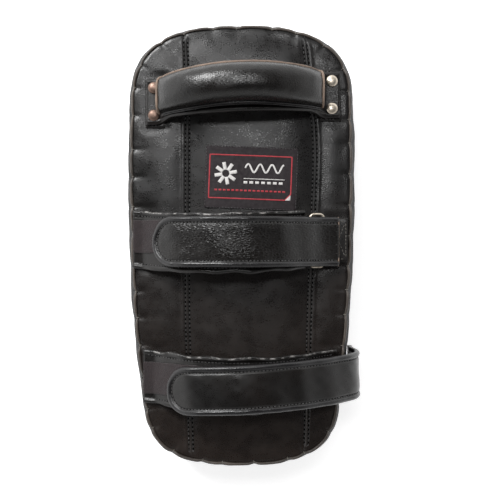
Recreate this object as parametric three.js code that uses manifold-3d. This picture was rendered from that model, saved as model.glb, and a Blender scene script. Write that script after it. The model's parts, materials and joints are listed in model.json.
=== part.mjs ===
// A thai pad: a foam-filled kick pad with a riveted grip handle and two forearm straps.
// Millimetres, +Z up. The pad lies on its strike face, +Y runs to the handle end, and the
// origin is the centre of the strike face.

import * as THREE from 'three';
import { mergeVertices } from 'three/addons/utils/BufferGeometryUtils.js';
import Module from 'manifold-3d';

const wasm = await Module();
wasm.setup();

// Driving dimensions: the padded body
const HALF_LENGTH = 199.5;
const HALF_WIDTH = 103; // at the widest, around the middle strap
const HEEL_HALF_WIDTH = 90; // where the lower corners begin
const STRIKE_ROUNDING = 18; // how far the wall draws in to the strike face
const STRIKE_ROUND_HEIGHT = 28;
const SEAM_INSET = 9; // how far the wall draws in to the back seam
const END_DRAW_IN = 3.2; // how much further it draws in at the two ends
const WALL_WIDEST_Z = 52; // above this the wall draws in again
const WALL_TOP_Z = 96;
const LEATHER = 2.5;
const GAP = 0.3; // between pieces that touch
const FOAM_ROOM = 1; // round the foam's edge, inside the wall

// The layers, each from its lower to its upper face
const STRIKE_FOAM_Z = [2.8, 28];
const CORE_FOAM_Z = [28.3, 62];
const BACK_FOAM_Z = [62.3, 92.7];
const REINFORCEMENT_Z = [93, 95.2];
const PANEL_Z = [95.5, 98.2];
const WELT_Z = [96.4, 100.2];
const BACK_Z = PANEL_Z[1];
const LEFT_SEAM_X = -47;
const RIGHT_SEAM_X = 59;

// The label on the centre panel
const LABEL = { x: 8.5, y: 57.5, width: 79, height: 53.5, thickness: 1 };

// The handle: its strap, grip, patches and rivets. It sits a little askew.
const HANDLE_Y = 125.2;
const HANDLE_SKEW = Math.tan(THREE.MathUtils.degToRad(2.2));
const PATCH = { left: [-82, -65], right: [66, 85], width: 44, thickness: 2 };
const HANDLE_STRAP = { left: -81, right: 84, width: 31, footWidth: 40, thickness: 2.8 };
const HANDLE_FOOT_Z = BACK_Z + 2 * GAP + PATCH.thickness;
const HANDLE_RISE = 27; // from the foot to the crest, at the strap's underside
const GRIP = { reach: 58, width: 35, height: 20, endWidth: 31, endHeight: 13 };
const GRIP_SHELL = 2;
const RIVET = { left: -74.3, right: 77, spread: 11.7, shank: 2, hole: 2.4, head: 4.9, dome: 2.8 };
const WASHER = { radius: 6.5, thickness: 1.2 };

// The straps
const STRAP_LEATHER = 2.6;
const TAPE = 1.4;
const BINDING_WIDTH = 4.5;
const LAYER = { // each layer's distance above the under strap's lower face
  under: [0, STRAP_LEATHER],
  loop: [STRAP_LEATHER + GAP, STRAP_LEATHER + GAP + TAPE],
  hook: [4.6, 6.0],
  lining: [6.3, 7.7],
  leather: [8.0, 10.0],
  binding: [6.2, 10.3],
};
const MID = {
  underY: 5.5, underWidth: 51, loopY: 7.5, loopWidth: 28,
  closingY: 3.3, closingWidth: 42, left: -90, tip: -69, end: 83, crest: 133,
};
const LOW = {
  underY: -111, underWidth: 47, loopY: -112.5, loopWidth: 27,
  closingY: -117, closingWidth: 40, left: -79.5, tip: -57, crest: 131,
  skew: Math.tan(THREE.MathUtils.degToRad(3)), hingeZ: 78, tailEndZ: 40,
};

// The wire ring and the tab that keeps it
const WIRE = 1.4;
const RING = { left: 58.5, right: 70, leftZ: 103.7, rightZ: 102.2, width: 47, y: 4.3, corner: 3 };
const KEEPER = { y: 4.6, width: 38, end: 90.5, thickness: 4.4, eye: 3.4, hole: 1.8 };
const UNDER_LOOP = { z: 104.9, outer: 4.9, hole: 2.9 };

const COLOURS = {
  leather: 0x24211f, strap: 0x1b1a1a, lining: 0x2a2727, loop: 0x322628, hook: 0x151515,
  foam: 0xd9d4c4, dense: 0x4c4f55, board: 0x8a7b62, metal: 0xd8c9ac, label: 0x140f10,
};

const pad = new THREE.Group();

function add(name, geometry, colour, roughness = 0.6, metalness = 0) {
  const material = new THREE.MeshStandardMaterial({ color: colour, roughness, metalness });
  const mesh = new THREE.Mesh(geometry, material);
  mesh.name = name;
  pad.add(mesh);
}

// Joining and cutting

function toSolid(geometry) {
  const bare = geometry.clone();
  bare.deleteAttribute('normal');
  bare.deleteAttribute('uv');
  const merged = mergeVertices(bare, 1e-4);
  return new wasm.Manifold(new wasm.Mesh({
    numProp: 3,
    vertProperties: new Float32Array(merged.attributes.position.array),
    triVerts: new Uint32Array(merged.index.array),
  }));
}

function toGeometry(solid) {
  const mesh = solid.getMesh();
  const geometry = new THREE.BufferGeometry();
  geometry.setAttribute('position', new THREE.BufferAttribute(mesh.vertProperties, 3));
  geometry.setIndex(new THREE.BufferAttribute(mesh.triVerts, 1));
  return geometry;
}

function cut(body, ...tools) {
  return toGeometry(tools.reduce((left, tool) => left.subtract(toSolid(tool)), toSolid(body)));
}

function join(...bodies) {
  return toGeometry(bodies.map(toSolid).reduce((all, body) => all.add(body)));
}

function common(body, tool) {
  return toGeometry(toSolid(body).intersect(toSolid(tool)));
}

function moveVertices(geometry, move) {
  const position = geometry.attributes.position;
  const point = new THREE.Vector3();
  for (let i = 0; i < position.count; i += 1) {
    move(point.fromBufferAttribute(position, i));
    position.setXYZ(i, point.x, point.y, point.z);
  }
  return geometry;
}

function box(xRange, yRange, zRange) {
  const size = [xRange, yRange, zRange].map(([low, high]) => high - low);
  const centre = [xRange, yRange, zRange].map(([low, high]) => (low + high) / 2);
  return new THREE.BoxGeometry(...size).translate(...centre);
}

function upright(radius, x, y, [low, high], sides = 12) {
  const cylinder = new THREE.CylinderGeometry(radius, radius, high - low, sides);
  return cylinder.rotateX(Math.PI / 2).translate(x, y, (low + high) / 2);
}

// The padded body

function padOutline() {
  const right = new THREE.Path();
  right.moveTo(0, HALF_LENGTH);
  right.bezierCurveTo(
    0.6 * HALF_WIDTH, HALF_LENGTH + 1,
    HALF_WIDTH + 1, 0.93 * HALF_LENGTH,
    HALF_WIDTH - 1, 0.65 * HALF_LENGTH,
  );
  right.bezierCurveTo(
    HALF_WIDTH + 2, 0.3 * HALF_LENGTH,
    HALF_WIDTH, -0.3 * HALF_LENGTH,
    HEEL_HALF_WIDTH, -0.705 * HALF_LENGTH,
  );
  right.bezierCurveTo(
    HEEL_HALF_WIDTH - 2, -0.92 * HALF_LENGTH,
    0.7 * HEEL_HALF_WIDTH, -HALF_LENGTH - 0.5,
    0, -HALF_LENGTH,
  );
  const half = right.getSpacedPoints(27);
  const left = half.slice(1, -1).reverse().map((point) => new THREE.Vector2(-point.x, point.y));
  return new THREE.Shape([...half, ...left]);
}

// How far inside the outline the wall's outer face lies at a height
function wallInset(z) {
  if (z < STRIKE_ROUND_HEIGHT) {
    const down = (STRIKE_ROUND_HEIGHT - z) / STRIKE_ROUND_HEIGHT;
    return STRIKE_ROUNDING * (1 - Math.sqrt(1 - down * down));
  }
  return SEAM_INSET * riseToSeam(z);
}

// 0 at the wall's widest height and below, 1 at the back seam
function riseToSeam(z) {
  const up = Math.max(0, z - WALL_WIDEST_Z) / (WALL_TOP_Z - WALL_WIDEST_Z);
  return Math.min(up, 1.15) ** 2;
}

function shrink(point, inset, endInset) {
  point.x *= (HALF_WIDTH - inset) / HALF_WIDTH;
  point.y *= (HALF_LENGTH - inset - endInset) / HALF_LENGTH;
}

// A slab of the pad between two heights, its wall a given distance inside the pad's own.
// Its levels lie closer together towards the strike face, where the wall is rounded.
function padSlab([low, high], inside, steps) {
  const slab = new THREE.ExtrudeGeometry(padOutline(), { depth: 1, steps, bevelEnabled: false });
  return moveVertices(slab, (point) => {
    point.z = low + (high - low) * point.z ** 1.5;
    const level = point.z < STRIKE_ROUND_HEIGHT ? Math.max(0, point.z - inside) : point.z;
    shrink(point, wallInset(level) + inside, END_DRAW_IN * riseToSeam(level));
  });
}

// A flat plate of the pad's outline with an upright edge
function padPlate([low, high], inset) {
  const plate = new THREE.ExtrudeGeometry(padOutline(), { depth: high - low, bevelEnabled: false });
  return moveVertices(plate, (point) => {
    point.z += low;
    shrink(point, inset, END_DRAW_IN);
  });
}

function strikeCover() {
  const outside = padSlab([0, WALL_TOP_Z], 0, 8);
  const inside = padSlab([LEATHER, WALL_TOP_Z + 1], LEATHER, 8);
  return cut(outside, inside);
}

function rivetPlaces() {
  return [RIVET.left, RIVET.right].flatMap((x) => [1, -1].map((end) => new THREE.Vector2(
    x,
    HANDLE_Y + x * HANDLE_SKEW + end * RIVET.spread,
  )));
}

function rivetHoles(radius = RIVET.hole, range = [80, 120]) {
  return rivetPlaces().map(({ x, y }) => upright(radius, x, y, range));
}

function backPanel(xLow, xHigh) {
  const plate = padPlate(PANEL_Z, SEAM_INSET + LEATHER + GAP);
  return common(plate, box([xLow, xHigh], [-HALF_LENGTH, HALF_LENGTH], [0, 200]));
}

function buildBody() {
  const foamEdge = LEATHER + FOAM_ROOM;
  const washerRoom = rivetHoles(WASHER.radius + GAP, [BACK_FOAM_Z[1] - 4, BACK_FOAM_Z[1] + 1]);
  add('strike_cover', strikeCover(), COLOURS.leather);
  add('strike_foam', padSlab(STRIKE_FOAM_Z, foamEdge, 3), COLOURS.dense, 0.9);
  add('core_foam', padSlab(CORE_FOAM_Z, foamEdge, 2), COLOURS.foam, 0.9);
  add('back_foam', cut(padSlab(BACK_FOAM_Z, foamEdge, 3), ...washerRoom), COLOURS.foam, 0.9);

  const board = padPlate(REINFORCEMENT_Z, SEAM_INSET + foamEdge);
  add('back_reinforcement', cut(board, ...rivetHoles()), COLOURS.board, 0.8);

  const side = HALF_WIDTH + 1;
  const left = backPanel(-side, LEFT_SEAM_X - GAP / 2);
  const centre = backPanel(LEFT_SEAM_X + GAP / 2, RIGHT_SEAM_X - GAP / 2);
  const right = backPanel(RIGHT_SEAM_X + GAP / 2, side);
  add('back_panel_left', cut(left, ...rivetHoles().slice(0, 2)), COLOURS.leather);
  add('back_panel_center', centre, COLOURS.leather);
  add('back_panel_right', cut(right, ...rivetHoles().slice(2)), COLOURS.leather);

  const welt = cut(
    padPlate(WELT_Z, SEAM_INSET - 1),
    padPlate([WELT_Z[0] - 5, WELT_Z[1] + 5], SEAM_INSET + 2),
  );
  add('seam_welt', welt, COLOURS.leather);

  const { x, y, width, height, thickness } = LABEL;
  const label = new THREE.BoxGeometry(width, height, thickness);
  add('woven_label', label.translate(x, y, BACK_Z + GAP + thickness / 2), COLOURS.label, 0.9);
}

// Bands that follow an arched path in the XZ plane

class ArchedPath {
  constructor(points) {
    const curve = new THREE.CatmullRomCurve3(
      points.map(([x, z]) => new THREE.Vector3(x, 0, z)), false, 'centripetal',
    );
    this.samples = curve.getSpacedPoints(400);
    this.curve = curve;
    this.length = curve.getLength();
  }

  // Distance along the path to the first sample that passes a test
  distanceTo(passes) {
    return this.length * this.samples.findIndex(passes) / (this.samples.length - 1);
  }

  atX(x) {
    return this.distanceTo((point) => point.x >= x);
  }

  // Moves a point given as (distance along, y, height above the path) into place
  place(point) {
    const share = THREE.MathUtils.clamp(point.x / this.length, 0, 1);
    const base = this.curve.getPointAt(share);
    const tangent = this.curve.getTangentAt(share);
    const height = point.z;
    point.x = base.x - tangent.z * height;
    point.z = base.z + tangent.x * height;
  }
}

// A flat band along a path, with a round tip at its start if tip is its radius
function band({ path, from, to, y, width, layer, skew = 0, tip = 0, step = 7 }) {
  const segments = Math.max(2, Math.round((to - from) / step));
  const strip = new THREE.BoxGeometry(1, width, layer[1] - layer[0], segments, 1, 1);
  const middle = (layer[0] + layer[1]) / 2;
  return moveVertices(strip, (point) => {
    const along = (point.x + 0.5) * (to - from);
    const back = Math.max(0, 1 - along / Math.max(tip, 1e-6));
    point.y *= tip > 0 ? Math.max(0.3, Math.sqrt(1 - back * back)) : 1;
    point.x = from + along;
    point.z += middle;
    path.place(point);
    point.y += y + point.x * skew;
  });
}

// The binding sewn round a strap's two sides and its round tip
function bindingBand(options) {
  const { from, to, width, tip } = options;
  const inner = band({
    ...options,
    from: from + BINDING_WIDTH,
    to: to + 5,
    width: width - 2 * BINDING_WIDTH,
    tip: tip - BINDING_WIDTH,
    layer: [LAYER.binding[0] - 1, LAYER.binding[1] + 1],
  });
  return cut(band({ ...options, layer: LAYER.binding }), inner);
}

// What the binding leaves free of a closing strap
function inside(options) {
  const edge = BINDING_WIDTH + GAP;
  return {
    ...options,
    from: options.from + edge,
    width: options.width - 2 * edge,
    tip: options.tip - edge,
  };
}

function closingStrap(prefix, options, hookLength) {
  const core = inside(options);
  const hook = { ...core, from: core.from + 1, to: core.from + hookLength, width: core.width - 2 };
  add(`${prefix}_closing_leather`, band({ ...core, layer: LAYER.leather }), COLOURS.strap, 0.5);
  add(`${prefix}_closing_lining`, band({ ...core, layer: LAYER.lining }), COLOURS.lining, 0.9);
  add(`${prefix}_closing_binding`, bindingBand(options), COLOURS.strap, 0.5);
  add(`${prefix}_hook_tape`, band({ ...hook, layer: LAYER.hook }), COLOURS.hook, 0.95);
}

// An eye that a bar of the ring passes through, with its axis along Y
function eye(x, z, radius, y, width) {
  const roll = new THREE.CylinderGeometry(radius, radius, width, 24);
  return roll.translate(x, y, z);
}

function buildMiddleStrap() {
  const path = new ArchedPath([
    [-92, 98.6], [-84, 99.2], [-72, 107.5], [-48, 123], [-10, MID.crest], [26, 127.5],
    [48, 114], [58.5, 106], [66, 102], [72, 99.8], [78, 97.8], [90, 97.2],
  ]);
  const under = { path, y: MID.underY, width: MID.underWidth, layer: LAYER.under };
  const strap = band({ ...under, from: path.atX(MID.left), to: path.atX(RING.left - 3) });
  const loopWidth = RING.width - 8;
  const roll = eye(RING.left, UNDER_LOOP.z, UNDER_LOOP.outer, RING.y, loopWidth);
  const bore = eye(RING.left, UNDER_LOOP.z, UNDER_LOOP.hole, RING.y, loopWidth + 40);
  const shoulder = RING.left - 8;
  const corners = [-1, 1].map((side) => box(
    [shoulder, 90],
    side > 0 ? [RING.y + loopWidth / 2, 60] : [-60, RING.y - loopWidth / 2],
    [90, 130],
  ));
  add('mid_under_strap', cut(join(strap, roll), bore, ...corners), COLOURS.strap, 0.55);
  add('mid_loop_tape', band({
    path, y: MID.loopY, width: MID.loopWidth, layer: LAYER.loop,
    from: path.atX(MID.left + 2), to: path.atX(20),
  }), COLOURS.loop, 1);
  closingStrap('mid', {
    path, y: MID.closingY, width: MID.closingWidth, tip: MID.closingWidth / 2,
    from: path.atX(MID.tip), to: path.atX(MID.end),
  }, 75);
}

function ringWire() {
  const { left, right, leftZ, rightZ, width, y, corner } = RING;
  const half = width / 2 - WIRE;
  const rise = (leftZ - rightZ) / (right - left);
  const at = (x, across) => new THREE.Vector3(x, y + across, rightZ + (right - x) * rise);
  const wire = new THREE.CurvePath();
  const corners = [[left, -half], [left, half], [right, half], [right, -half]];
  let from = at((left + right) / 2 + GAP / 2, -half);
  corners.forEach(([x, across], index) => {
    const xIn = x === left ? corner : -corner;
    const acrossIn = across < 0 ? corner : -corner;
    const alongX = at(x + xIn, across);
    const alongY = at(x, across + acrossIn);
    const [before, after] = index % 2 === 0 ? [alongX, alongY] : [alongY, alongX];
    wire.add(new THREE.LineCurve3(from, before));
    wire.add(new THREE.QuadraticBezierCurve3(before, at(x, across), after));
    from = after;
  });
  wire.add(new THREE.LineCurve3(from, at((left + right) / 2 + 3 * GAP / 2, -half)));
  const section = new THREE.Shape();
  section.absarc(0, 0, WIRE, 0, 2 * Math.PI);
  return new THREE.ExtrudeGeometry(section, {
    steps: 48, curveSegments: 4, extrudePath: wire, bevelEnabled: false,
  });
}

function buildRing() {
  add('ring', ringWire(), COLOURS.metal, 0.25, 1);
  const low = BACK_Z + GAP;
  const yRange = [KEEPER.y - KEEPER.width / 2, KEEPER.y + KEEPER.width / 2];
  const tail = box([RING.right, KEEPER.end], yRange, [low, low + KEEPER.thickness]);
  const roll = eye(RING.right, RING.rightZ, KEEPER.eye, KEEPER.y, KEEPER.width);
  const bore = eye(RING.right, RING.rightZ, KEEPER.hole, KEEPER.y, KEEPER.width + 4);
  add('ring_keeper', cut(join(tail, roll), bore), COLOURS.strap, 0.6);
}

function buildLowerStrap() {
  const underPath = new ArchedPath([
    [-82, 98.6], [-74, 99.2], [-62, 107.5], [-38, 122.5], [0, LOW.crest],
    [38, 122.5], [62, 107.5], [74, 99.2], [82, 98.6],
  ]);
  add('lower_under_strap', band({
    path: underPath, y: LOW.underY, width: LOW.underWidth, layer: LAYER.under,
    from: underPath.atX(LOW.left), to: underPath.atX(-LOW.left),
  }), COLOURS.strap, 0.55);
  add('lower_loop_tape', band({
    path: underPath, y: LOW.loopY, width: LOW.loopWidth, layer: LAYER.loop,
    from: underPath.atX(LOW.left + 2), to: underPath.atX(20),
  }), COLOURS.loop, 1);

  const path = new ArchedPath([
    [-82, 98.6], [-74, 99.2], [-62, 107.5], [-38, 122.5], [0, LOW.crest],
    [40, 124], [66, 112], [82, 101], [91, 90.5], [93, 78], [91.6, 62], [91.2, 30],
  ]);
  const hinge = path.distanceTo((point) => point.x > 80 && point.z < LOW.hingeZ);
  const tailEnd = path.distanceTo((point) => point.x > 80 && point.z < LOW.tailEndZ);
  const strap = {
    path, y: LOW.closingY, skew: LOW.skew, width: LOW.closingWidth, tip: LOW.closingWidth / 2,
    from: path.atX(LOW.tip), to: hinge - GAP,
  };
  closingStrap('lower', strap, 70);
  add('lower_strap_tail', band({
    ...strap, tip: 0, from: hinge, to: tailEnd, layer: LAYER.binding,
  }), COLOURS.strap, 0.5);
}

// The handle

function handlePath() {
  const z = HANDLE_FOOT_Z;
  const half = [[90, 0], [80, 0], [68.8, 0], [64, 2.4], [57.5, 9.5], [44, 18], [22, 25]];
  const left = half.map(([x, rise]) => [-x, z + rise]);
  const right = half.map(([x, rise]) => [x, z + rise]).reverse();
  return new ArchedPath([...left, [0, z + HANDLE_RISE], ...right]);
}

// The grip is a flattened roll that thins towards its ends
function gripRoll(path, inset, overrun) {
  const from = path.atX(-GRIP.reach);
  const to = path.atX(GRIP.reach);
  const lift = HANDLE_STRAP.thickness + 3 * GAP;
  const roll = new THREE.CylinderGeometry(1, 1, 1, 16, 14);
  return moveVertices(roll, (point) => {
    const along = THREE.MathUtils.lerp(from - overrun, to + overrun, point.y + 0.5);
    const share = THREE.MathUtils.clamp((along - from) / (to - from), 0, 1);
    const fullness = Math.min(1, 2.4 * Math.sin(Math.PI * share));
    const width = THREE.MathUtils.lerp(GRIP.endWidth, GRIP.width, fullness);
    const height = THREE.MathUtils.lerp(GRIP.endHeight, GRIP.height, fullness);
    const thick = height * (point.z > 0 ? 0.75 : 0.25) - inset;
    point.y = -point.x * (width / 2 - inset);
    point.x = along;
    point.z = lift + height * 0.25 + thick * point.z;
    path.place(point);
    point.y += HANDLE_Y + point.x * HANDLE_SKEW;
  });
}

function rivet(x, y) {
  const { shank, head, dome } = RIVET;
  const under = HANDLE_FOOT_Z + HANDLE_STRAP.thickness + GAP;
  const washerLow = REINFORCEMENT_Z[0] - GAP - WASHER.thickness;
  const profile = [new THREE.Vector2(0, washerLow - 1.7)];
  profile.push(new THREE.Vector2(shank + 1.2, washerLow - 1.3));
  profile.push(new THREE.Vector2(shank + 1.2, washerLow - GAP));
  profile.push(new THREE.Vector2(shank, washerLow - GAP));
  profile.push(new THREE.Vector2(shank, under));
  for (let i = 0; i <= 4; i += 1) {
    const angle = i * Math.PI / 8;
    profile.push(new THREE.Vector2(head * Math.cos(angle), under + 0.4 + dome * Math.sin(angle)));
  }
  profile.splice(5, 0, new THREE.Vector2(head - 0.3, under));
  profile[profile.length - 1].x = 0;
  const turned = new THREE.LatheGeometry(profile, 16);
  return turned.rotateX(Math.PI / 2).translate(x, y, 0);
}

function washer(x, y) {
  const low = REINFORCEMENT_Z[0] - GAP - WASHER.thickness;
  const range = [low, low + WASHER.thickness];
  return cut(upright(WASHER.radius, x, y, range, 16), upright(RIVET.hole, x, y, [80, 120]));
}

// The strap widens where it comes down to its two riveted feet
function handleStrap(path) {
  const strap = band({
    path,
    y: 0,
    width: HANDLE_STRAP.width,
    layer: [0, HANDLE_STRAP.thickness],
    from: path.atX(HANDLE_STRAP.left),
    to: path.atX(HANDLE_STRAP.right),
    step: 7,
  });
  return moveVertices(strap, (point) => {
    const foot = THREE.MathUtils.smoothstep(Math.abs(point.x), 56, 72);
    point.y *= THREE.MathUtils.lerp(1, HANDLE_STRAP.footWidth / HANDLE_STRAP.width, foot);
    point.y += HANDLE_Y + point.x * HANDLE_SKEW;
  });
}

function buildHandle() {
  const path = handlePath();
  const patchZ = [BACK_Z + GAP, BACK_Z + GAP + PATCH.thickness];
  [[PATCH.left, 'left'], [PATCH.right, 'right']].forEach(([range, name]) => {
    const y = HANDLE_Y + (range[0] + range[1]) / 2 * HANDLE_SKEW;
    const patch = box(range, [y - PATCH.width / 2, y + PATCH.width / 2], patchZ);
    add(`handle_patch_${name}`, cut(patch, ...rivetHoles()), COLOURS.leather);
  });

  add('handle_strap', cut(handleStrap(path), ...rivetHoles()), COLOURS.strap, 0.6);
  add('grip_foam', gripRoll(path, GRIP_SHELL + 2 * GAP, -2), COLOURS.foam, 0.9);
  add('grip_cover', cut(gripRoll(path, 0, 0), gripRoll(path, GRIP_SHELL, 3)), COLOURS.strap, 0.45);

  rivetPlaces().forEach(({ x, y }, index) => {
    add(`handle_rivet_${index + 1}`, rivet(x, y), COLOURS.metal, 0.25, 1);
    add(`rivet_washer_${index + 1}`, washer(x, y), COLOURS.metal, 0.4, 1);
  });
}

buildBody();
buildHandle();
buildMiddleStrap();
buildRing();
buildLowerStrap();

export default pad;
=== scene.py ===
"""The looks of the thai pad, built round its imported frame.

Shapes are worked out in millimetres, in the frame's own axes, and turned into metres as each piece is made:
a padded body of puffed leather with a gathered wall, stitched seams, a rolled grip on a riveted strap, two
bound straps that close on hook and loop tape, a wire ring in its keeper, and a woven label.
"""
import json
import math

import bmesh
import bpy
import numpy as np
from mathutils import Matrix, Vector
from mathutils.bvhtree import BVHTree
from mathutils.kdtree import KDTree


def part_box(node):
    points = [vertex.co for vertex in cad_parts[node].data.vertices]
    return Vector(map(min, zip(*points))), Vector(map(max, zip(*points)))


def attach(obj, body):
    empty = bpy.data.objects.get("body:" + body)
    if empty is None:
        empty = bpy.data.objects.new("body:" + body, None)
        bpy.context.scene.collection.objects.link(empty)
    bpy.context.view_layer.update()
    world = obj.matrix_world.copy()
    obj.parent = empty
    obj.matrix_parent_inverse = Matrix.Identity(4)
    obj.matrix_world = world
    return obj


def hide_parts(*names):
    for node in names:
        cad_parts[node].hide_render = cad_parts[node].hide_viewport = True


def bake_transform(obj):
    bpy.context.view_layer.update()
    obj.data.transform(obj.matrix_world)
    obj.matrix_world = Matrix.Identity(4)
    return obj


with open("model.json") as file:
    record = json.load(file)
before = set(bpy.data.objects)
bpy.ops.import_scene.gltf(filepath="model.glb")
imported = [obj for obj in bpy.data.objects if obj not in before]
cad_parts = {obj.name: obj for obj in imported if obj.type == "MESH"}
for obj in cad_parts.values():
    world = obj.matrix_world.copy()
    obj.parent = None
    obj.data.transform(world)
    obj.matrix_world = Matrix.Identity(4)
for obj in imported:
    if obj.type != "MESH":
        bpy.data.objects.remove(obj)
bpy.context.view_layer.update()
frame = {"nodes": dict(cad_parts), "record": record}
MM = 0.001


# ---------------------------------------------------------------- measures taken from the frame

def corners(node):
    """A CAD node's lowest and highest corners, in millimetres."""
    low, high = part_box(node)
    return np.array(low) / MM, np.array(high) / MM


def middle(node):
    """The middle of a CAD node's box."""
    low, high = corners(node)
    return (low + high) / 2


def half_width(node):
    """Half of a CAD node's extent in Y, the way across a strap."""
    low, high = corners(node)
    return float(high[1] - low[1]) / 2


HALF_WIDTH, HALF_LENGTH = corners("strike_cover")[1][:2]
WELT_LOW, WELT_HIGH = corners("seam_welt")
PANEL_TOP = corners("back_panel_center")[1][2]
LEFT_SEAM_X = corners("back_panel_left")[1][0]
RIGHT_SEAM_X = corners("back_panel_right")[0][0]

# ---------------------------------------------------------------- the shape of the padded body

COLUMNS = 560  # round the pad's outline
SEAM_INSET = HALF_WIDTH - WELT_HIGH[0] + 1.6  # of the perimeter seam, from the widest outline
END_DRAW_IN = 3.2  # how much further the seam draws in at the pad's two ends
SEAM_Z = WELT_LOW[2] + 0.4
WIDEST_Z = 44
WALL_SLACK = 1.3  # the sewn wall hangs this far inside the widest outline
STRIKE_ROUND = 28
STRIKE_DRAW_IN = 18
SPINE_HALF = HALF_LENGTH - HALF_WIDTH + 4  # half the length of the line where the rings of a face close
NOTCH_PITCH = 26.0  # between the hand stitches that gather the perimeter seam
NOTCH_SWAY = 0.2  # how far a gathering stitch strays from its even place, by share of the pitch
SEAM_FOLD = 5.0  # from a lengthwise seam's middle to the turned-in edge of the leather beside it
STITCH_ROW = 1.65  # from a lengthwise seam's middle to each row of its stitches
STITCH_PITCH = 3.7


# ---------------------------------------------------------------- small tools

def new_piece(name, points, faces, material):
    """A smooth-shaded mesh object from points in millimetres."""
    mesh = bpy.data.meshes.new(name)
    places = np.asarray(points, float).reshape(-1, 3) * MM
    mesh.from_pydata(places.tolist(), [], [list(map(int, face)) for face in faces])
    piece = bpy.data.objects.new(name, mesh)
    bpy.context.scene.collection.objects.link(piece)
    mesh.materials.append(material)
    mesh.polygons.foreach_set("use_smooth", [True] * len(mesh.polygons))
    return piece


def tidy_mesh(piece, merge, fill):
    """Welds what coincides, closes open ends and turns the faces outwards."""
    work = bmesh.new()
    work.from_mesh(piece.data)
    bmesh.ops.remove_doubles(work, verts=work.verts, dist=merge * MM)
    bmesh.ops.dissolve_degenerate(work, edges=work.edges, dist=1e-7)
    if fill:
        open_edges = [edge for edge in work.edges if edge.is_boundary]
        if open_edges:
            bmesh.ops.holes_fill(work, edges=open_edges, sides=0)
    bmesh.ops.recalc_face_normals(work, faces=work.faces)
    work.to_mesh(piece.data)
    work.free()
    piece.data.update()
    return piece


def apply_modifiers(piece):
    graph = bpy.context.evaluated_depsgraph_get()
    mesh = bpy.data.meshes.new_from_object(piece.evaluated_get(graph))
    piece.modifiers.clear()
    piece.data = mesh
    return piece


def thicken(piece, thickness):
    """Gives a sheet its leather thickness, in millimetres, as a closed solid."""
    layer = piece.modifiers.new("thickness", "SOLIDIFY")
    layer.thickness = thickness * MM
    layer.offset = -1.0
    return apply_modifiers(piece)


def lattice(points, wrap_columns, wrap_rows):
    """The quads between the points of a grid of shape (columns, rows, 3)."""
    columns, rows = points.shape[:2]
    index = np.arange(columns * rows).reshape(columns, rows)
    if wrap_columns:
        index = np.vstack([index, index[:1]])
    if wrap_rows:
        index = np.hstack([index, index[:, :1]])
    quads = np.stack([index[:-1, :-1], index[1:, :-1], index[1:, 1:], index[:-1, 1:]], -1)
    return quads.reshape(-1, 4)


def grid_piece(name, points, material, wrap_columns=False, wrap_rows=True, merge=0.02, fill=True):
    """A piece from a grid of points: a closed tube along its columns, unless it is told otherwise."""
    faces = lattice(points, wrap_columns, wrap_rows)
    return tidy_mesh(new_piece(name, points, faces, material), merge, fill)


def sheet_piece(name, points, material, merge, up):
    """An open sheet from a grid of points, turned so that most of its faces look the way up(face) says."""
    piece = grid_piece(name, points, material, wrap_rows=False, merge=merge, fill=False)
    if sum(up(face) for face in piece.data.polygons) < 0:
        piece.data.flip_normals()
    return piece


def dress(piece, body, slot, *nodes, padded=None):
    """Says what a piece moves with, and hides the CAD nodes it stands for."""
    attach(piece, body)
    if nodes:
        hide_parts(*nodes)
    return piece


def dress_blend(piece, body, start, end, slot, *nodes):
    """For a piece that runs from the pad onto a strap that opens: bakes its placing into its points and
    hides the CAD nodes it stands for.
    """
    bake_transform(piece)
    if nodes:
        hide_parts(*nodes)
    return piece


def ripple(u, v, seed, wavelength):
    """Smooth unevenness between -1 and 1, the same on every run."""
    source = np.random.RandomState(seed)
    total = np.zeros(np.broadcast(u, v).shape)
    waves = 7
    for _ in range(waves):
        angle, phase = source.uniform(0, 2 * math.pi, 2)
        length = wavelength * source.uniform(0.7, 1.6)
        along = np.cos(angle) * u + np.sin(angle) * v
        total = total + np.sin(2 * math.pi * along / length + phase)
    return total / waves * 1.6


def smoothstep(value, low, high):
    """Eases from 0 at low to 1 at high."""
    share = np.clip((value - low) / (high - low), 0, 1)
    return share * share * (3 - 2 * share)


def circle(count):
    """Angles in equal steps once round."""
    return np.linspace(0, 2 * np.pi, count + 1)[:-1]


def bent(value, power):
    """A value with its size raised to a power and its sign kept: below 1 it squares off a circle."""
    return np.sign(value) * np.abs(value) ** power


def unit(rows):
    """Rows of a table scaled to length 1."""
    return rows / np.linalg.norm(rows, axis=1)[:, None]


def headings(line):
    """The way ahead at each point of a line."""
    return unit(np.gradient(line, axis=0))


def distances(line):
    """How far along a line each of its points lies."""
    return np.concatenate([[0], np.cumsum(np.linalg.norm(np.diff(line, axis=0), axis=1))])


def smoothed(line, window):
    """A line averaged over a window, which shortens it by half a window at each end."""
    window = window / window.sum()
    return np.stack([np.convolve(line[:, k], window, "valid") for k in range(line.shape[1])], 1)


def even_spacing(points, count, closed=False):
    """The same polyline with points at equal distances along it."""
    if closed:
        points = np.vstack([points, points[:1]])
    reach = distances(points)
    at = np.linspace(0, reach[-1], count + 1)[:-1] if closed else np.linspace(0, reach[-1], count)
    return np.stack([np.interp(at, reach, points[:, k]) for k in range(points.shape[1])], 1)


def bezier(a, b, c, d):
    """Points along a curve from a to d that sets out towards b and arrives from c."""
    t = np.linspace(0, 1, 80)[:, None]
    a, b, c, d = (np.array(p, float) for p in (a, b, c, d))
    return a * (1 - t) ** 3 + 3 * b * t * (1 - t) ** 2 + 3 * c * t * t * (1 - t) + d * t ** 3


def outline_normals(loop):
    """The way out of a closed flat outline at each of its points."""
    ahead = np.roll(loop, -1, axis=0) - np.roll(loop, 1, axis=0)
    normals = unit(np.stack([-ahead[:, 1], ahead[:, 0]], 1))
    outwards = np.sign(np.sum(normals * loop, axis=1).mean())
    return normals * outwards


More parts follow.
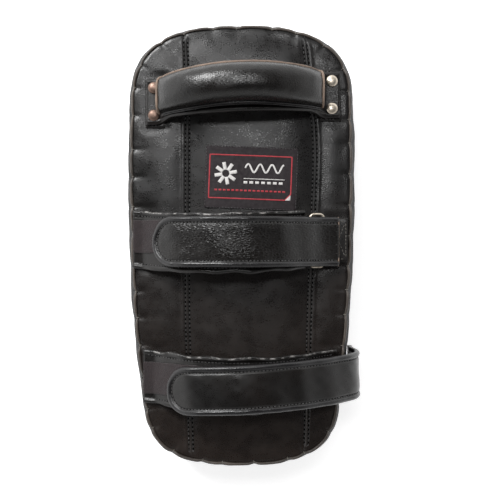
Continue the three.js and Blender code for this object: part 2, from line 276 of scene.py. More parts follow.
# ---------------------------------------------------------------- materials

class Graph:
    """A material's node tree, built up from short calls."""

    def __init__(self, name):
        self.material = bpy.data.materials.new(name)
        self.material.use_nodes = True
        self.tree = self.material.node_tree
        self.shader = self.tree.nodes["Principled BSDF"]
        self.place = self.node("TexCoord").outputs["Object"]

    def give(self, socket, value):
        """Links a value that is another node's output, or sets one that is plain."""
        if isinstance(value, bpy.types.NodeSocket):
            self.tree.links.new(value, socket)
        else:
            socket.default_value = value

    def node(self, kind, sockets=None, **settings):
        """A new node of a kind, with its inputs linked or set and its settings made."""
        made = self.tree.nodes.new("ShaderNode" + kind)
        for key, value in settings.items():
            setattr(made, key, value)
        for key, value in (sockets or {}).items():
            self.give(made.inputs[key], value)
        return made

    def noise(self, size, detail=3.0, rough=0.5, distortion=0.0):
        """Noise whose blobs are about size millimetres across."""
        made = self.node("TexNoise", {
            "Vector": self.place, "Scale": 1 / (size * MM), "Detail": detail,
            "Roughness": rough, "Distortion": distortion,
        })
        return made.outputs["Fac"]

    def math(self, operation, a, b=0.0):
        return self.node("Math", {0: a, 1: b}, operation=operation).outputs[0]

    def remap(self, value, low, high, to_low=0.0, to_high=1.0):
        """A value moved from one range to another, and kept within it."""
        made = self.node("MapRange", {
            "Value": value, "From Min": low, "From Max": high, "To Min": to_low, "To Max": to_high,
        })
        return made.outputs["Result"]

    def mix(self, share, first, second):
        made = self.node("Mix", data_type="RGBA")
        for index, value in ((0, share), (6, first), (7, second)):
            if isinstance(value, tuple):
                value = (*value, 1.0)
            self.give(made.inputs[index], value)
        return made.outputs[2]

    def bump(self, height, distance, strength=1.0, after=None):
        """A bump whose relief is distance millimetres."""
        sockets = {"Height": height, "Distance": distance * MM, "Strength": strength}
        if after is not None:
            sockets["Normal"] = after
        return self.node("Bump", sockets).outputs["Normal"]

    def surface(self, **values):
        """Sets inputs of the surface shader, whose names have their spaces written as underscores."""
        for key, value in values.items():
            name = key.replace("_", " ")
            if isinstance(value, tuple):
                value = (*value, 1.0)
            self.give(self.shader.inputs[name], value)
        return self.material


def leather(name, colour, tint, rough, pebble, relief, crease=0.05, warm=None, specular=0.5, stretch=1.0):
    """Grained leather: pebbles, pores, soft creases, and colour and gloss that vary over the hide.

    The pebbles are pebble millimetres across and stretch times as long in X as in Y, relief and crease are
    the heights of the pebbles and of the creases, and warm is the colour towards the pad's lower end."""
    g = Graph(name)
    bend = g.node("TexNoise", {"Vector": g.place, "Scale": 1 / (pebble * 1.6 * MM), "Detail": 2.0})
    shift = g.node("VectorMath", {0: bend.outputs["Color"], 3: pebble * 0.9 * MM}, operation="SCALE")
    where = g.node("VectorMath", {0: g.place, 1: shift.outputs[0]}, operation="ADD").outputs[0]
    squash = (1 / stretch, 1.0, 1 / stretch)
    where = g.node("VectorMath", {0: where, 1: squash}, operation="MULTIPLY").outputs[0]
    cells = g.node("TexVoronoi", {"Vector": where, "Scale": 1 / (pebble * MM)}, feature="DISTANCE_TO_EDGE")
    pebbles = g.remap(cells.outputs["Distance"], 0.0, 0.32)
    pores = g.noise(pebble * 0.35, 2.0)
    hide = g.noise(46, 4.0, 0.55)
    wear = g.noise(13, 5.0, 0.6)
    base = g.mix(g.remap(hide, 0.36, 0.66), colour, tint)
    if warm is not None:
        height = g.node("SeparateXYZ", {0: g.place}).outputs["Y"]
        low_end = g.remap(height, 0.05, -0.2)
        base = g.mix(g.math("MULTIPLY", low_end, g.remap(wear, 0.3, 0.7, 0.5, 1.0)), base, warm)
    # painted shade: the creases between the pebbles are darkened
    base = g.mix(g.remap(pebbles, 0.0, 0.5, 0.45, 0.0), base, tuple(c * 0.35 for c in colour))
    patches = g.remap(wear, 0.3, 0.7, rough - 0.07, rough + 0.08)
    gloss = g.math("ADD", patches, g.remap(pebbles, 0, 1, 0.1, -0.03))
    normal = g.bump(g.noise(7, 3.0, 0.5), crease, 0.6)
    normal = g.bump(pores, relief * 0.3, 0.6, normal)
    normal = g.bump(pebbles, relief, 0.85, normal)
    return g.surface(Base_Color=base, Roughness=gloss, Normal=normal, Specular_IOR_Level=specular)


def painted_glint_leather(name):
    """Painted highlight for a glossy edge: pale shiny patches painted on dark leather, standing in for the
    glints where the edge catches the light.
    """
    g = Graph(name)
    glint_patches = g.noise(5.5, 4.0, 0.6)
    creases = g.noise(1.2, 3.0, 0.6)
    base = g.mix(g.remap(glint_patches, 0.48, 0.58), (0.009, 0.0085, 0.008), (0.26, 0.25, 0.24))
    base = g.mix(g.remap(creases, 0.5, 0.62, 0.0, 0.8), base, (0.012, 0.011, 0.011))
    gloss = g.remap(creases, 0.3, 0.7, 0.22, 0.45)
    return g.surface(Base_Color=base, Roughness=gloss, Normal=g.bump(creases, 0.2))


def raw_edge(name):
    """The cut edge of the hide, tan and fibrous, darkened where hands rub it."""
    g = Graph(name)
    fibres = g.noise(0.7, 4.0, 0.7)
    stain = g.noise(9, 4.0, 0.6)
    base = g.mix(g.remap(stain, 0.35, 0.65), (0.2, 0.14, 0.105), (0.085, 0.06, 0.048))
    base = g.mix(g.remap(fibres, 0.35, 0.6, 0.0, 0.4), base, (0.33, 0.25, 0.19))
    gloss = g.remap(fibres, 0.3, 0.7, 0.6, 0.85)
    return g.surface(Base_Color=base, Roughness=gloss, Normal=g.bump(fibres, 0.14))


def thread(name, colour):
    """Twisted thread."""
    g = Graph(name)
    waves = {"Vector": g.place, "Scale": 420.0, "Distortion": 1.5}
    strand = g.node("TexWave", waves, bands_direction="DIAGONAL").outputs["Fac"]
    base = g.mix(g.remap(strand, 0, 1, 0.5, 0.0), colour, tuple(c * 0.4 for c in colour))
    return g.surface(Base_Color=base, Roughness=g.remap(strand, 0, 1, 0.62, 0.42),
                     Normal=g.bump(strand, 0.08), Sheen_Weight=0.3)


def tape(name, colour, fleck, pile, hooks=False):
    """Hook or loop tape: a matt pile over a woven ground."""
    g = Graph(name)
    fuzz = g.noise(0.5, 5.0, 0.75, distortion=1.2)
    patch = g.noise(6.5, 4.0, 0.65)
    cells = g.node("TexVoronoi", {"Vector": g.place, "Scale": 1 / ((1.3 if hooks else 0.9) * MM)})
    tufts = g.remap(cells.outputs["Distance"], 0.1, 0.7, 1.0, 0.0)
    base = g.mix(g.remap(patch, 0.35, 0.65), colour, fleck)
    base = g.mix(g.remap(fuzz, 0.4, 0.66, 0.0, 0.6), base, tuple(min(1, c * 2.6 + 0.01) for c in colour))
    normal = g.bump(fuzz, pile * 0.7)
    normal = g.bump(tufts, pile, 0.9, normal)
    return g.surface(Base_Color=base, Roughness=g.remap(fuzz, 0.3, 0.7, 0.82, 1.0), Normal=normal,
                     Sheen_Weight=0.0 if hooks else 0.12, Sheen_Roughness=0.5)


def woven(name, colour, light, pitch=0.55, sheen=0.25):
    """A close damask weave for the label and its threads."""
    g = Graph(name)
    across = g.node("TexWave", {"Vector": g.place, "Scale": 1 / (pitch * 6.3 * MM)}, bands_direction="X")
    along = g.node("TexWave", {"Vector": g.place, "Scale": 1 / (pitch * 6.3 * MM)}, bands_direction="Y")
    weave = g.math("MULTIPLY", across.outputs["Fac"], along.outputs["Fac"])
    slub = g.noise(3.0, 3.0)
    base = g.mix(g.remap(weave, 0, 1, 0.0, 0.55), colour, light)
    base = g.mix(g.remap(slub, 0.4, 0.7, 0.0, 0.3), base, tuple(c * 0.6 for c in colour))
    return g.surface(Base_Color=base, Roughness=g.remap(slub, 0.3, 0.7, 0.62, 0.8),
                     Normal=g.bump(weave, 0.12), Sheen_Weight=sheen)


def metal(name, colour, rough):
    """Plated steel, a little tarnished, with fine handling scratches."""
    g = Graph(name)
    tarnish = g.noise(4.0, 5.0, 0.65)
    scratch = g.noise(0.35, 3.0, 0.7, distortion=2.0)
    base = g.mix(g.remap(tarnish, 0.42, 0.72), colour, tuple(c * 0.62 for c in colour))
    gloss = g.remap(tarnish, 0.3, 0.7, rough, rough + 0.16)
    return g.surface(Base_Color=base, Metallic=1.0, Roughness=gloss, Normal=g.bump(scratch, 0.02, 0.5))


def foam(name, colour, shade, cell, specular=0.5):
    """A matt stuff pitted with cells, cell millimetres across."""
    g = Graph(name)
    cells = g.node("TexVoronoi", {"Vector": g.place, "Scale": 1 / (cell * MM)})
    pits = g.remap(cells.outputs["Distance"], 0.0, 0.5)
    patch = g.noise(18, 4.0)
    base = g.mix(g.remap(patch, 0.35, 0.65), colour, shade)
    # painted shade: the pits are darkened
    base = g.mix(g.remap(pits, 0.0, 0.4, 0.5, 0.0), base, tuple(c * 0.5 for c in shade))
    gloss = g.remap(patch, 0.3, 0.7, 0.85, 0.97)
    return g.surface(Base_Color=base, Roughness=gloss, Normal=g.bump(pits, 0.2), Specular_IOR_Level=specular)


def floor_paint(name):
    """The studio's pale floor, which glows a little so that it stays even."""
    g = Graph(name)
    patch = g.noise(300, 2.0)
    base = g.mix(g.remap(patch, 0.3, 0.7), (0.93, 0.93, 0.93), (0.945, 0.945, 0.945))
    g.surface(Emission_Color=(1.0, 1.0, 1.0), Emission_Strength=0.6)
    return g.surface(Base_Color=base, Roughness=0.9, Specular_IOR_Level=0.1)


COVER_LEATHER = leather(
    "cover_leather", (0.0052, 0.0048, 0.0047), (0.0085, 0.0074, 0.007), 0.28, pebble=1.7, relief=0.042,
    crease=0.03, warm=(0.026, 0.0178, 0.0138))
# painted shade: the walls are the same leather as the back, given a darker copy of its colours so that they
# read darker; it is also rougher and duller
SHADED_SIDE_LEATHER = leather(
    "shaded_side_leather", (0.0042, 0.004, 0.0039), (0.006, 0.0054, 0.0052), 0.6, pebble=1.7, relief=0.05,
    warm=(0.0075, 0.0055, 0.0045), specular=0.15)
STRAP_LEATHER = leather(
    "strap_leather", (0.0032, 0.003, 0.003), (0.0055, 0.0052, 0.005), 0.24, pebble=1.9, relief=0.16,
    crease=0.1, warm=(0.0175, 0.0118, 0.0085), specular=0.4, stretch=1.6)
SMOOTH_LEATHER = leather(
    "smooth_strap_leather", (0.0045, 0.004, 0.0037), (0.0085, 0.0066, 0.0057), 0.28, pebble=1.3,
    relief=0.025, specular=0.42)
PAINTED_GLINT_LEATHER = painted_glint_leather("painted_glint_edge_leather")
BINDING_LEATHER = leather(
    "binding_leather", (0.0075, 0.0072, 0.0078), (0.013, 0.012, 0.0127), 0.24, pebble=0.9, relief=0.02)
# painted highlight: the welt is the cover's own leather, painted many times lighter so that its rolled lip
# shows as a light line
LIT_WELT_LEATHER = leather(
    "lit_welt_leather", (0.045, 0.038, 0.033), (0.085, 0.068, 0.055), 0.42, pebble=0.9, relief=0.03)
GRIP_LEATHER = leather(
    "grip_leather", (0.004, 0.0036, 0.0034), (0.008, 0.0065, 0.0056), 0.24, pebble=1.9, relief=0.075)
LINING_CLOTH = woven("strap_lining", (0.022, 0.02, 0.019), (0.04, 0.037, 0.035), 0.9)
RAW_EDGE = raw_edge("raw_edge")
DARK_THREAD = thread("dark_thread", (0.045, 0.043, 0.043))
WORN_THREAD = thread("worn_thread", (0.36, 0.34, 0.3))
PALE_THREAD = thread("waxed_thread", (0.13, 0.12, 0.1))
# painted shade: near-black domes that reflect nothing stand where the shade in each needle hole falls
HOLE_SHADE = foam("stitch_hole_shade", (0.003, 0.003, 0.003), (0.002, 0.002, 0.002), 0.5, 0.0)
LOOP_TAPE = tape("loop_tape", (0.0105, 0.0065, 0.0072), (0.016, 0.009, 0.0098), 0.35)
HOOK_TAPE = tape("hook_tape", (0.012, 0.012, 0.013), (0.02, 0.02, 0.021), 0.5, hooks=True)
LABEL_CLOTH = woven("label_cloth", (0.0085, 0.0042, 0.006), (0.018, 0.0085, 0.0125), sheen=0.0)
LABEL_RED = woven("label_red", (0.42, 0.022, 0.035), (0.6, 0.07, 0.08))
LABEL_WHITE = woven("label_white", (0.66, 0.64, 0.62), (0.85, 0.84, 0.82))
NICKEL = metal("nickel", (0.74, 0.66, 0.55), 0.3)
# painted reflection and shade: a darker, browner copy of the nickel for the left rivets
BROWN_SHADED_NICKEL = metal("brown_shaded_nickel", (0.22, 0.15, 0.12), 0.36)
SOFT_FOAM = foam("soft_foam", (0.72, 0.68, 0.56), (0.6, 0.54, 0.42), 1.1)
DENSE_FOAM = foam("dense_foam", (0.085, 0.09, 0.095), (0.06, 0.062, 0.068), 0.7)
FIBRE_BOARD = foam("fibre_board", (0.3, 0.22, 0.14), (0.22, 0.155, 0.095), 0.9)
FLOOR_PAINT = floor_paint("pale_floor")


# ---------------------------------------------------------------- the outline and the seams

def pad_outline(count):
    """Points at equal distances round the pad, from the middle of the handle end towards +X."""
    width, length, heel = HALF_WIDTH, HALF_LENGTH, 0.874 * HALF_WIDTH
    right = np.vstack([
        bezier((0, length), (0.6 * width, length + 1),
               (width + 1, 0.93 * length), (width - 1, 0.65 * length)),
        bezier((width - 1, 0.65 * length), (width + 2, 0.3 * length),
               (width, -0.3 * length), (heel, -0.705 * length))[1:],
        bezier((heel, -0.705 * length), (heel - 2, -0.92 * length),
               (0.7 * heel, -length - 0.5), (0, -length))[1:],
    ])
    left = right[-2:0:-1] * [-1, 1]
    return even_spacing(np.vstack([right, left]), count, closed=True)


OUTLINE = pad_outline(COLUMNS)
NORMALS = outline_normals(OUTLINE)
COLUMN_STEP = np.linalg.norm(OUTLINE[1] - OUTLINE[0])
PERIMETER = COLUMN_STEP * COLUMNS
COLUMN_AT = np.arange(COLUMNS) * COLUMN_STEP


def shrunk(points, inset, end_inset=0.0):
    """The pad's outline drawn in evenly, and by end_inset more at its two ends."""
    return points * [(HALF_WIDTH - inset) / HALF_WIDTH, (HALF_LENGTH - inset - end_inset) / HALF_LENGTH]


SEAM_LINE = shrunk(OUTLINE, SEAM_INSET, END_DRAW_IN)


def place_notches():
    """Where along the perimeter the hand stitches gather it, and how hard each one pulls."""
    source = np.random.RandomState(7)
    count = int(round(PERIMETER / NOTCH_PITCH))
    at = (np.arange(count) + source.uniform(-NOTCH_SWAY, NOTCH_SWAY, count)) * PERIMETER / count
    return at, source.uniform(0.65, 1.3, count)


NOTCHES, NOTCH_PULL = place_notches()


def gather(at, width):
    """How hard the notch stitches pull at a distance along the perimeter."""
    away = np.abs(np.asarray(at)[..., None] - NOTCHES)
    away = np.minimum(away, PERIMETER - away)
    return (NOTCH_PULL * np.exp(-(away / width) ** 2)).sum(-1)


def edge_of(x, y):
    """Distance inside the perimeter seam, and the distance along it, of places on the back."""
    flat = np.stack([np.ravel(x), np.ravel(y)], 1)
    distance, along = np.empty(len(flat)), np.empty(len(flat))
    for start in range(0, len(flat), 4000):
        part = flat[start:start + 4000]
        gaps = ((part[:, None, :] - SEAM_LINE[None]) ** 2).sum(-1)
        nearest = gaps.argmin(1)
        step = part - SEAM_LINE[nearest]
        ahead = unit(SEAM_LINE[(nearest + 1) % COLUMNS] - SEAM_LINE[nearest - 1])
        slide = (step * ahead).sum(1)
        distance[start:start + 4000] = -(step * NORMALS[nearest]).sum(1)
        along[start:start + 4000] = COLUMN_AT[nearest] + slide
    return distance.reshape(np.shape(x)), along.reshape(np.shape(x))


def smooth_through(places, at):
    """A smooth curve through a few (position, value) places."""
    where, value = np.array(places, float).T
    slope = np.gradient(value, where)
    at = np.clip(at, where[0], where[-1])
    k = np.clip(np.searchsorted(where, at) - 1, 0, len(where) - 2)
    width = where[k + 1] - where[k]
    t = (at - where[k]) / width
    return (value[k] * (1 + 2 * t) * (1 - t) ** 2 + slope[k] * width * t * (1 - t) ** 2
            + value[k + 1] * t * t * (3 - 2 * t) - slope[k + 1] * width * t * t * (1 - t))


# How far each lengthwise seam wanders in X from its straight line, by share of the half length
LEFT_WANDER = [(-1.0, 5.2), (-0.6, 2.6), (-0.3, 1.2), (0.3, 1.1), (0.65, 0.8), (1.0, -1.3)]
RIGHT_WANDER = [(-1.0, -4.4), (-0.5, -1.7), (-0.2, -0.2), (0.14, 2.6), (0.45, 3.9), (0.7, -1.0), (1.0, -7.6)]


def left_seam(y):
    """The X of the left lengthwise seam at a Y."""
    return LEFT_SEAM_X + smooth_through(LEFT_WANDER, np.asarray(y) / HALF_LENGTH)


def right_seam(y):
    """The X of the right lengthwise seam at a Y."""
    return RIGHT_SEAM_X + smooth_through(RIGHT_WANDER, np.asarray(y) / HALF_LENGTH)


def seam_gap(x, y):
    """Distance in X from the nearer lengthwise seam."""
    return np.minimum(np.abs(x - left_seam(y)), np.abs(x - right_seam(y)))


def sewn_places():
    """Where things are sewn or riveted down on the back, as (X from, X to, Y from, Y to)."""
    places = []
    for node in ("handle_patch_left", "handle_patch_right", "ring_keeper"):
        low, high = corners(node)
        places.append((low[0], high[0], low[1], high[1]))
    for node in ("mid_under_strap", "lower_under_strap"):
        low, high = corners(node)
        places.append((low[0] - 4, low[0] + 11, low[1], high[1]))
    low, high = corners("lower_under_strap")
    places.append((high[0] - 11, high[0] + 4, low[1], high[1]))
    return places


SEWN_PLACES = sewn_places()


def sewn_down(x, y):
    """How far a place on the back is held down, from 0 to 1: the padding doesn't puff up there."""
    feather = 7.0
    share = np.zeros(np.shape(x))
    for x_low, x_high, y_low, y_high in SEWN_PLACES:
        inside = smoothstep(x, x_low - feather, x_low) * (1 - smoothstep(x, x_high, x_high + feather))
        inside = inside * smoothstep(y, y_low - feather, y_low)
        inside = inside * (1 - smoothstep(y, y_high, y_high + feather))
        share = np.maximum(share, inside)
    return share


# ---------------------------------------------------------------- the puff of the filled leather

def wall_inset(z):
    """How far inside the outline the wall's outer face lies at a height."""
    z = np.asarray(z, float)
    down = np.clip((STRIKE_ROUND - z) / STRIKE_ROUND, 0, 1)
    rounding = (STRIKE_DRAW_IN - WALL_SLACK) * (1 - np.sqrt(1 - down ** 2))
    return rounding + WALL_SLACK + (SEAM_INSET - WALL_SLACK) * rise_to_seam(z) ** 1.7


def rise_to_seam(z):
    """How far up from the pad's widest height to its back seam a height is, as a share."""
    return np.clip((np.asarray(z, float) - WIDEST_Z) / (SEAM_Z - WIDEST_Z), 0, 1.15)


def wall_line(points, z, inside=0.0):
    """The pad's outline drawn in to where its wall lies at a height."""
    return shrunk(points, wall_inset(z) + inside, END_DRAW_IN * rise_to_seam(z) ** 1.7)


def closed_stack(name, loops, material):
    """A closed solid from loops of points, its ends filled."""
    return grid_piece(name, np.stack(loops, 1), material, wrap_columns=True, wrap_rows=False)


def puff_by_cloth():
    """Blows up a blank of the pad by cloth simulation: where its points start, and how each one moves."""
    frames = 20
    most = 5.5
    line = pad_outline(140)
    heights = np.concatenate([STRIKE_ROUND * (1 - np.cos(np.linspace(0, 1.5, 8))), np.linspace(32, 97, 14)])
    loops = [np.column_stack([wall_line(line, z, 0.5), np.full(len(line), z)]) for z in heights]
    blank = closed_stack("puff_blank", loops, COVER_LEATHER)
    remesh = blank.modifiers.new("remesh", "REMESH")
    remesh.mode = "VOXEL"
    remesh.voxel_size = 5 * MM
    apply_modifiers(blank)
    start = vertices_of(blank)
    x, y, z = start.T
    edge, _ = edge_of(x, y)
    seam = seam_gap(x, y)
    held = (z > 88) & ((edge < 4) | (seam < 4.5) | (sewn_down(x, y) > 0.4))
    held |= z < 7
    group = blank.vertex_groups.new(name="held")
    group.add([int(i) for i in np.nonzero(held)[0]], 1.0, "REPLACE")
    cloth = blank.modifiers.new("puff", "CLOTH")
    settings = cloth.settings
    settings.vertex_group_mass = "held"
    settings.use_pressure = True
    settings.uniform_pressure_force = 4.0
    settings.tension_stiffness = settings.compression_stiffness = 18
    settings.bending_stiffness = 1.2
    settings.effector_weights.gravity = 0
    scene = bpy.context.scene
    scene.frame_start, scene.frame_end = 1, frames
    for step in range(1, frames + 1):
        scene.frame_set(step)
    apply_modifiers(blank)
    moved = vertices_of(blank) - start
    scene.frame_set(1)
    size = np.linalg.norm(moved, axis=1)
    moved *= (np.minimum(size, most) / np.maximum(size, 1e-6))[:, None]
    bpy.data.objects.remove(blank, do_unlink=True)
    return start, moved


def vertices_of(piece):
    """A piece's points, in millimetres."""
    points = np.empty(len(piece.data.vertices) * 3)
    piece.data.vertices.foreach_get("co", points)
    return points.reshape(-1, 3) / MM


class Puff:
    """The movement of the filled leather, read off at any point."""

    def __init__(self):
        start, self.moved = puff_by_cloth()
        self.tree = KDTree(len(start))
        for index, point in enumerate(start):
            self.tree.insert(point, index)
        self.tree.balance()

    def at(self, points):
        """How far the leather moves at each of some points, averaged from the nearest known ones."""
        flat = np.asarray(points, float).reshape(-1, 3)
        result = np.empty_like(flat)
        for index, point in enumerate(flat):
            near = self.tree.find_n(point, 8)
            weights = np.array([1 / (gap * gap + 4.0) for _, _, gap in near])
            moves = self.moved[[i for _, i, _ in near]]
            result[index] = weights @ moves / weights.sum()
        return result.reshape(np.shape(points))


PUFF = Puff()


# ---------------------------------------------------------------- the cover

def wall_loop(z):
    """The wall's points at a height, gathered by the notch stitches, the more the nearer the seam."""
    lift = float(smoothstep(z, 42, SEAM_Z)) ** 1.3
    at = COLUMN_AT
    swell = 1.2 * (1 - np.minimum(gather(at, 4.2), 1)) * lift
    crease = -1.1 * gather(at, 1.7) * lift ** 2.2
    soft = 0.7 * ripple(at, np.full_like(at, z * 1.4), 3, 44) * min(1.0, z / 30)
    folds = 0.4 * ripple(at * 2.0, np.full_like(at, z * 0.7), 5, 26) * lift
    outwards = (swell + crease + soft + folds - 0.7 * lift) * min(1.0, z / 16)
    flat = wall_line(OUTLINE, z) + NORMALS * outwards[:, None]
    return np.column_stack([flat, np.full(COLUMNS, z)])


def build_cover():
    """The strike face and the side walls in one, from the edge turned in at the back seam down and under."""
    loops = [np.column_stack([shrunk(SEAM_LINE, inset), np.full(COLUMNS, SEAM_Z - inset)])
             for inset in (2.2, 0.6)]
    loops += [wall_loop(z) for z in np.linspace(SEAM_Z - 1.0, STRIKE_ROUND, 40)]
    loops += [wall_loop(z) for z in STRIKE_ROUND * (1 - np.sin(np.linspace(0.08, math.pi / 2, 14)))]
    rim = loops[-1][:, :2]
    spine = np.column_stack([np.zeros(COLUMNS), np.clip(rim[:, 1], -SPINE_HALF, SPINE_HALF)])
    for share in np.linspace(0.06, 1, 22):
        loops.append(np.column_stack([rim * (1 - share) + spine * share, np.zeros(COLUMNS)]))
    points = np.stack(loops, 1)
    moves = PUFF.at(points)
    fade = smoothstep(SEAM_Z - points[..., 2], 2, 14) * smoothstep(points[..., 2], 3, 18)
    points += moves * fade[..., None]
    # painted shade: the walls and strike face take the darker copy of the cover leather
    cover = grid_piece("gathered_cover", points, SHADED_SIDE_LEATHER, True, False, merge=0.05, fill=False)
    thicken(cover, 1.6)
    dress(cover, "pad", "cover_leather", "strike_cover", padded=0.75)


def panel_height(x, y):
    """The back's height: crowned between seams, pinched at notches, with two sewn rows at each seam."""
    edge, at = edge_of(x, y)
    near = np.maximum(edge, 0)
    seam = seam_gap(x, y)
    free = 1 - sewn_down(x, y)
    z = np.full(np.shape(x), PANEL_TOP - 0.2)
    z = z + 1.5 * free * (1 - np.exp(-(near / 16) ** 2)) * (1 - np.exp(-(seam / 14) ** 2))
    z = z - 0.9 * (1 - smoothstep(near, -1, 4)) ** 1.5
    z = z - 1.1 * gather(at, 1.9) * np.exp(-(near / 4)) - 0.4 * gather(at, 1.3) * np.exp(-(near / 10) ** 2)
    z = z + 0.12 * (1 - np.minimum(gather(at, 5.5), 1)) * np.exp(-((near - 6) / 5.5) ** 2) * free
    z = z + (0.1 + 0.22 * np.exp(-near / 14)) * ripple(x, y, 11, 23) * (0.3 + 0.7 * free)
    z = z + 0.06 * ripple(x, y, 12, 8.5)
    fade = smoothstep(near, 3, 9)
    outer = np.where(x < 0, left_seam(y) - x, x - right_seam(y))
    fold = 0.55 * (1 - smoothstep(outer, SEAM_FOLD - 0.7, SEAM_FOLD + 0.6)) * (outer > 0)
    ridge = 0.75 * np.exp(-(seam / 0.8) ** 2)
    valley = -0.75 * np.exp(-((seam - STITCH_ROW) / 0.8) ** 2)
    dip = -0.35 * np.exp(-((seam - 3.4) / 1.6) ** 2) * (outer < 0)
    return z + (fold + ridge + valley + dip) * fade


# The rows of points beside an edge of a panel, by their distance from it: they follow its stitched seam
NEAR = np.array([0.0, 0.35, 0.8, 1.2, 1.65, 2.1, 2.6, 3.3, 4.1, 4.6, 5.1, 5.6, 6.6, 8.2, 10.5, 13.5])


def between(length, pitch=3.2):
    """Distances from one edge of a panel to the other, close together near both edges."""
    core = np.linspace(NEAR[-1], length - NEAR[-1], max(2, int((length - 2 * NEAR[-1]) / pitch)))
    return np.concatenate([NEAR[:-1], core, length - NEAR[:-1][::-1]])


def finish_panel(name, x, y, node):
    """A panel of the back from a grid of places on it."""
    points = np.stack([x, y, panel_height(x, y)], -1)
    edge, _ = edge_of(x, y)
    seam = seam_gap(x, y)
    moves = PUFF.at(np.stack([x, y, np.full(x.shape, 97.0)], -1))
    fade = smoothstep(np.minimum(edge, seam), 2, 12) * (1 - sewn_down(x, y))
    points[..., 2] += moves[..., 2] * fade
    panel = sheet_piece(name, points, COVER_LEATHER, 0.03, lambda face: face.normal.z)
    thicken(panel, 1.5)
    return dress(panel, "pad", "cover_leather", node, padded=0.55)


def half_outline_y(x, top):
    """The Y where the perimeter seam crosses a given X, at the top or the bottom."""
    line = SEAM_LINE[SEAM_LINE[:, 1] > 0] if top else SEAM_LINE[SEAM_LINE[:, 1] < 0]
    line = line[np.abs(line[:, 0]) < 86]
    order = np.argsort(line[:, 0])
    return np.interp(x, line[order, 0], line[order, 1])


def seam_end(seam, top):
    """The Y where a lengthwise seam meets the perimeter seam."""
    y = HALF_LENGTH if top else -HALF_LENGTH
    for _ in range(8):
        y = float(half_outline_y(seam(y), top))
    return y


def build_centre_panel():
    left_top, left_low = seam_end(left_seam, True), seam_end(left_seam, False)
    across = between(RIGHT_SEAM_X - LEFT_SEAM_X)
    rows = between(left_top - left_low, 3.0)
    share, row = np.meshgrid(across / across[-1], rows / rows[-1], indexing="ij")
    y = left_low + row * (left_top - left_low)
    for _ in range(6):
        x = left_seam(y) * (1 - share) + right_seam(y) * share
        y = half_outline_y(x, False) * (1 - row) + half_outline_y(x, True) * row
    x = left_seam(y) * (1 - share) + right_seam(y) * share
    return finish_panel("centre_panel", x, y, "back_panel_center")


def build_side_panel(side, seam, name, node):
    """A side panel: its rows run from the lengthwise seam out to the perimeter, closest together at both."""
    top, low = seam_end(seam, True), seam_end(seam, False)
    order = np.arange(COLUMNS)
    arc = SEAM_LINE[order] if side > 0 else SEAM_LINE[-order]
    arc = arc[(arc[:, 0] * side > abs(float(seam(arc[0, 1]))) * 0.2)]
    arc = arc[(arc[:, 0] * side) > (seam(arc[:, 1]) * side)]
    arc = even_spacing(np.vstack([(float(seam(top)), top), arc, (float(seam(low)), low)]), 260)
    t = np.linspace(0, 1, 260)
    y = top + (low - top) * (t - 0.055 * np.sin(2 * np.pi * t))
    inner = np.column_stack([seam(y), y])
    usual_width = 50.0
    length = np.linalg.norm(arc - inner, axis=1)
    # where the panel is wide, the rows near both its edges keep their true distance from them
    kept = np.minimum(1, usual_width / np.maximum(length, 1e-6))
    shares = between(usual_width)
    grid = np.empty((len(t), len(shares), 2))
    for index, share in enumerate(shares / shares[-1]):
        out = share * kept if share < 0.5 else 1 - (1 - share) * kept
        grid[:, index] = inner * (1 - out[:, None]) + arc * out[:, None]
    return finish_panel(name, grid[..., 0], grid[..., 1], node)


def build_panels():
    return [
        build_centre_panel(),
        build_side_panel(-1, left_seam, "left_panel", "back_panel_left"),
        build_side_panel(1, right_seam, "right_panel", "back_panel_right"),
    ]


def ray_tree(pieces):
    """A tree of some meshes' faces, in millimetres, to send rays at."""
    points, faces = [], []
    for piece in pieces:
        base = len(points)
        points += [v.co / MM for v in piece.data.vertices]
        faces += [[base + i for i in p.vertices] for p in piece.data.polygons]
    return BVHTree.FromPolygons(points, faces)


class Surface:
    """The finished back, for laying things on it."""

    def __init__(self, pieces):
        self.tree = ray_tree(pieces)

    def height(self, x, y):
        x, y = np.broadcast_arrays(np.asarray(x, float), np.asarray(y, float))
        result = np.empty(x.shape)
        for index in np.ndindex(x.shape):
            hit = self.tree.ray_cast(Vector((x[index], y[index], 200)), Vector((0, 0, -1)))[0]
            result[index] = hit.z if hit else PANEL_TOP
        return result


# ---------------------------------------------------------------- thread

def stacked_rings(points, faces, rings):
    """Adds a small closed solid made of rings of points, each with as many points as the next."""
    base, size = len(points), len(rings[0])
    for ring in rings:
        points.extend(ring)
    for level in range(len(rings) - 1):
        for k in range(size):
            a, b = base + level * size + k, base + level * size + (k + 1) % size
            faces.append([a, b, b + size, a + size])
    faces.append([base + k for k in range(size - 1, -1, -1)])
    faces.append([base + (len(rings) - 1) * size + k for k in range(size)])


def stitch_run(line, ups, pitch, length, radius, lift):
    """The points and faces of a row of stitches: each one a small arched capsule lying along the line."""
    reach = distances(line)
    count = max(1, int((reach[-1] - length) / pitch))
    turn = circle(6)[:, None]
    arch = 1 - np.linspace(-1, 1, 6) ** 2
    size = radius * np.sqrt(np.maximum(arch, 0)) * 0.75 + radius * 0.25
    points, faces = [], []
    for centre in (reach[-1] - (count - 1) * pitch) / 2 + np.arange(count) * pitch:
        at = centre + np.linspace(-0.5, 0.5, 6) * length
        spot = np.stack([np.interp(at, reach, line[:, k]) for k in range(3)], 1)
        up = np.array([np.interp(centre, reach, ups[:, k]) for k in range(3)])
        up /= np.linalg.norm(up)
        ahead = spot[-1] - spot[0]
        ahead /= np.linalg.norm(ahead)
        across = np.cos(turn) * np.cross(up, ahead) + np.sin(turn) * up
        middles = [spot[k] + up * (lift + (arch[k] - 0.7) * radius * 1.5) for k in range(6)]
        stacked_rings(points, faces, [middles[k] + size[k] * across for k in range(6)])
    return points, faces


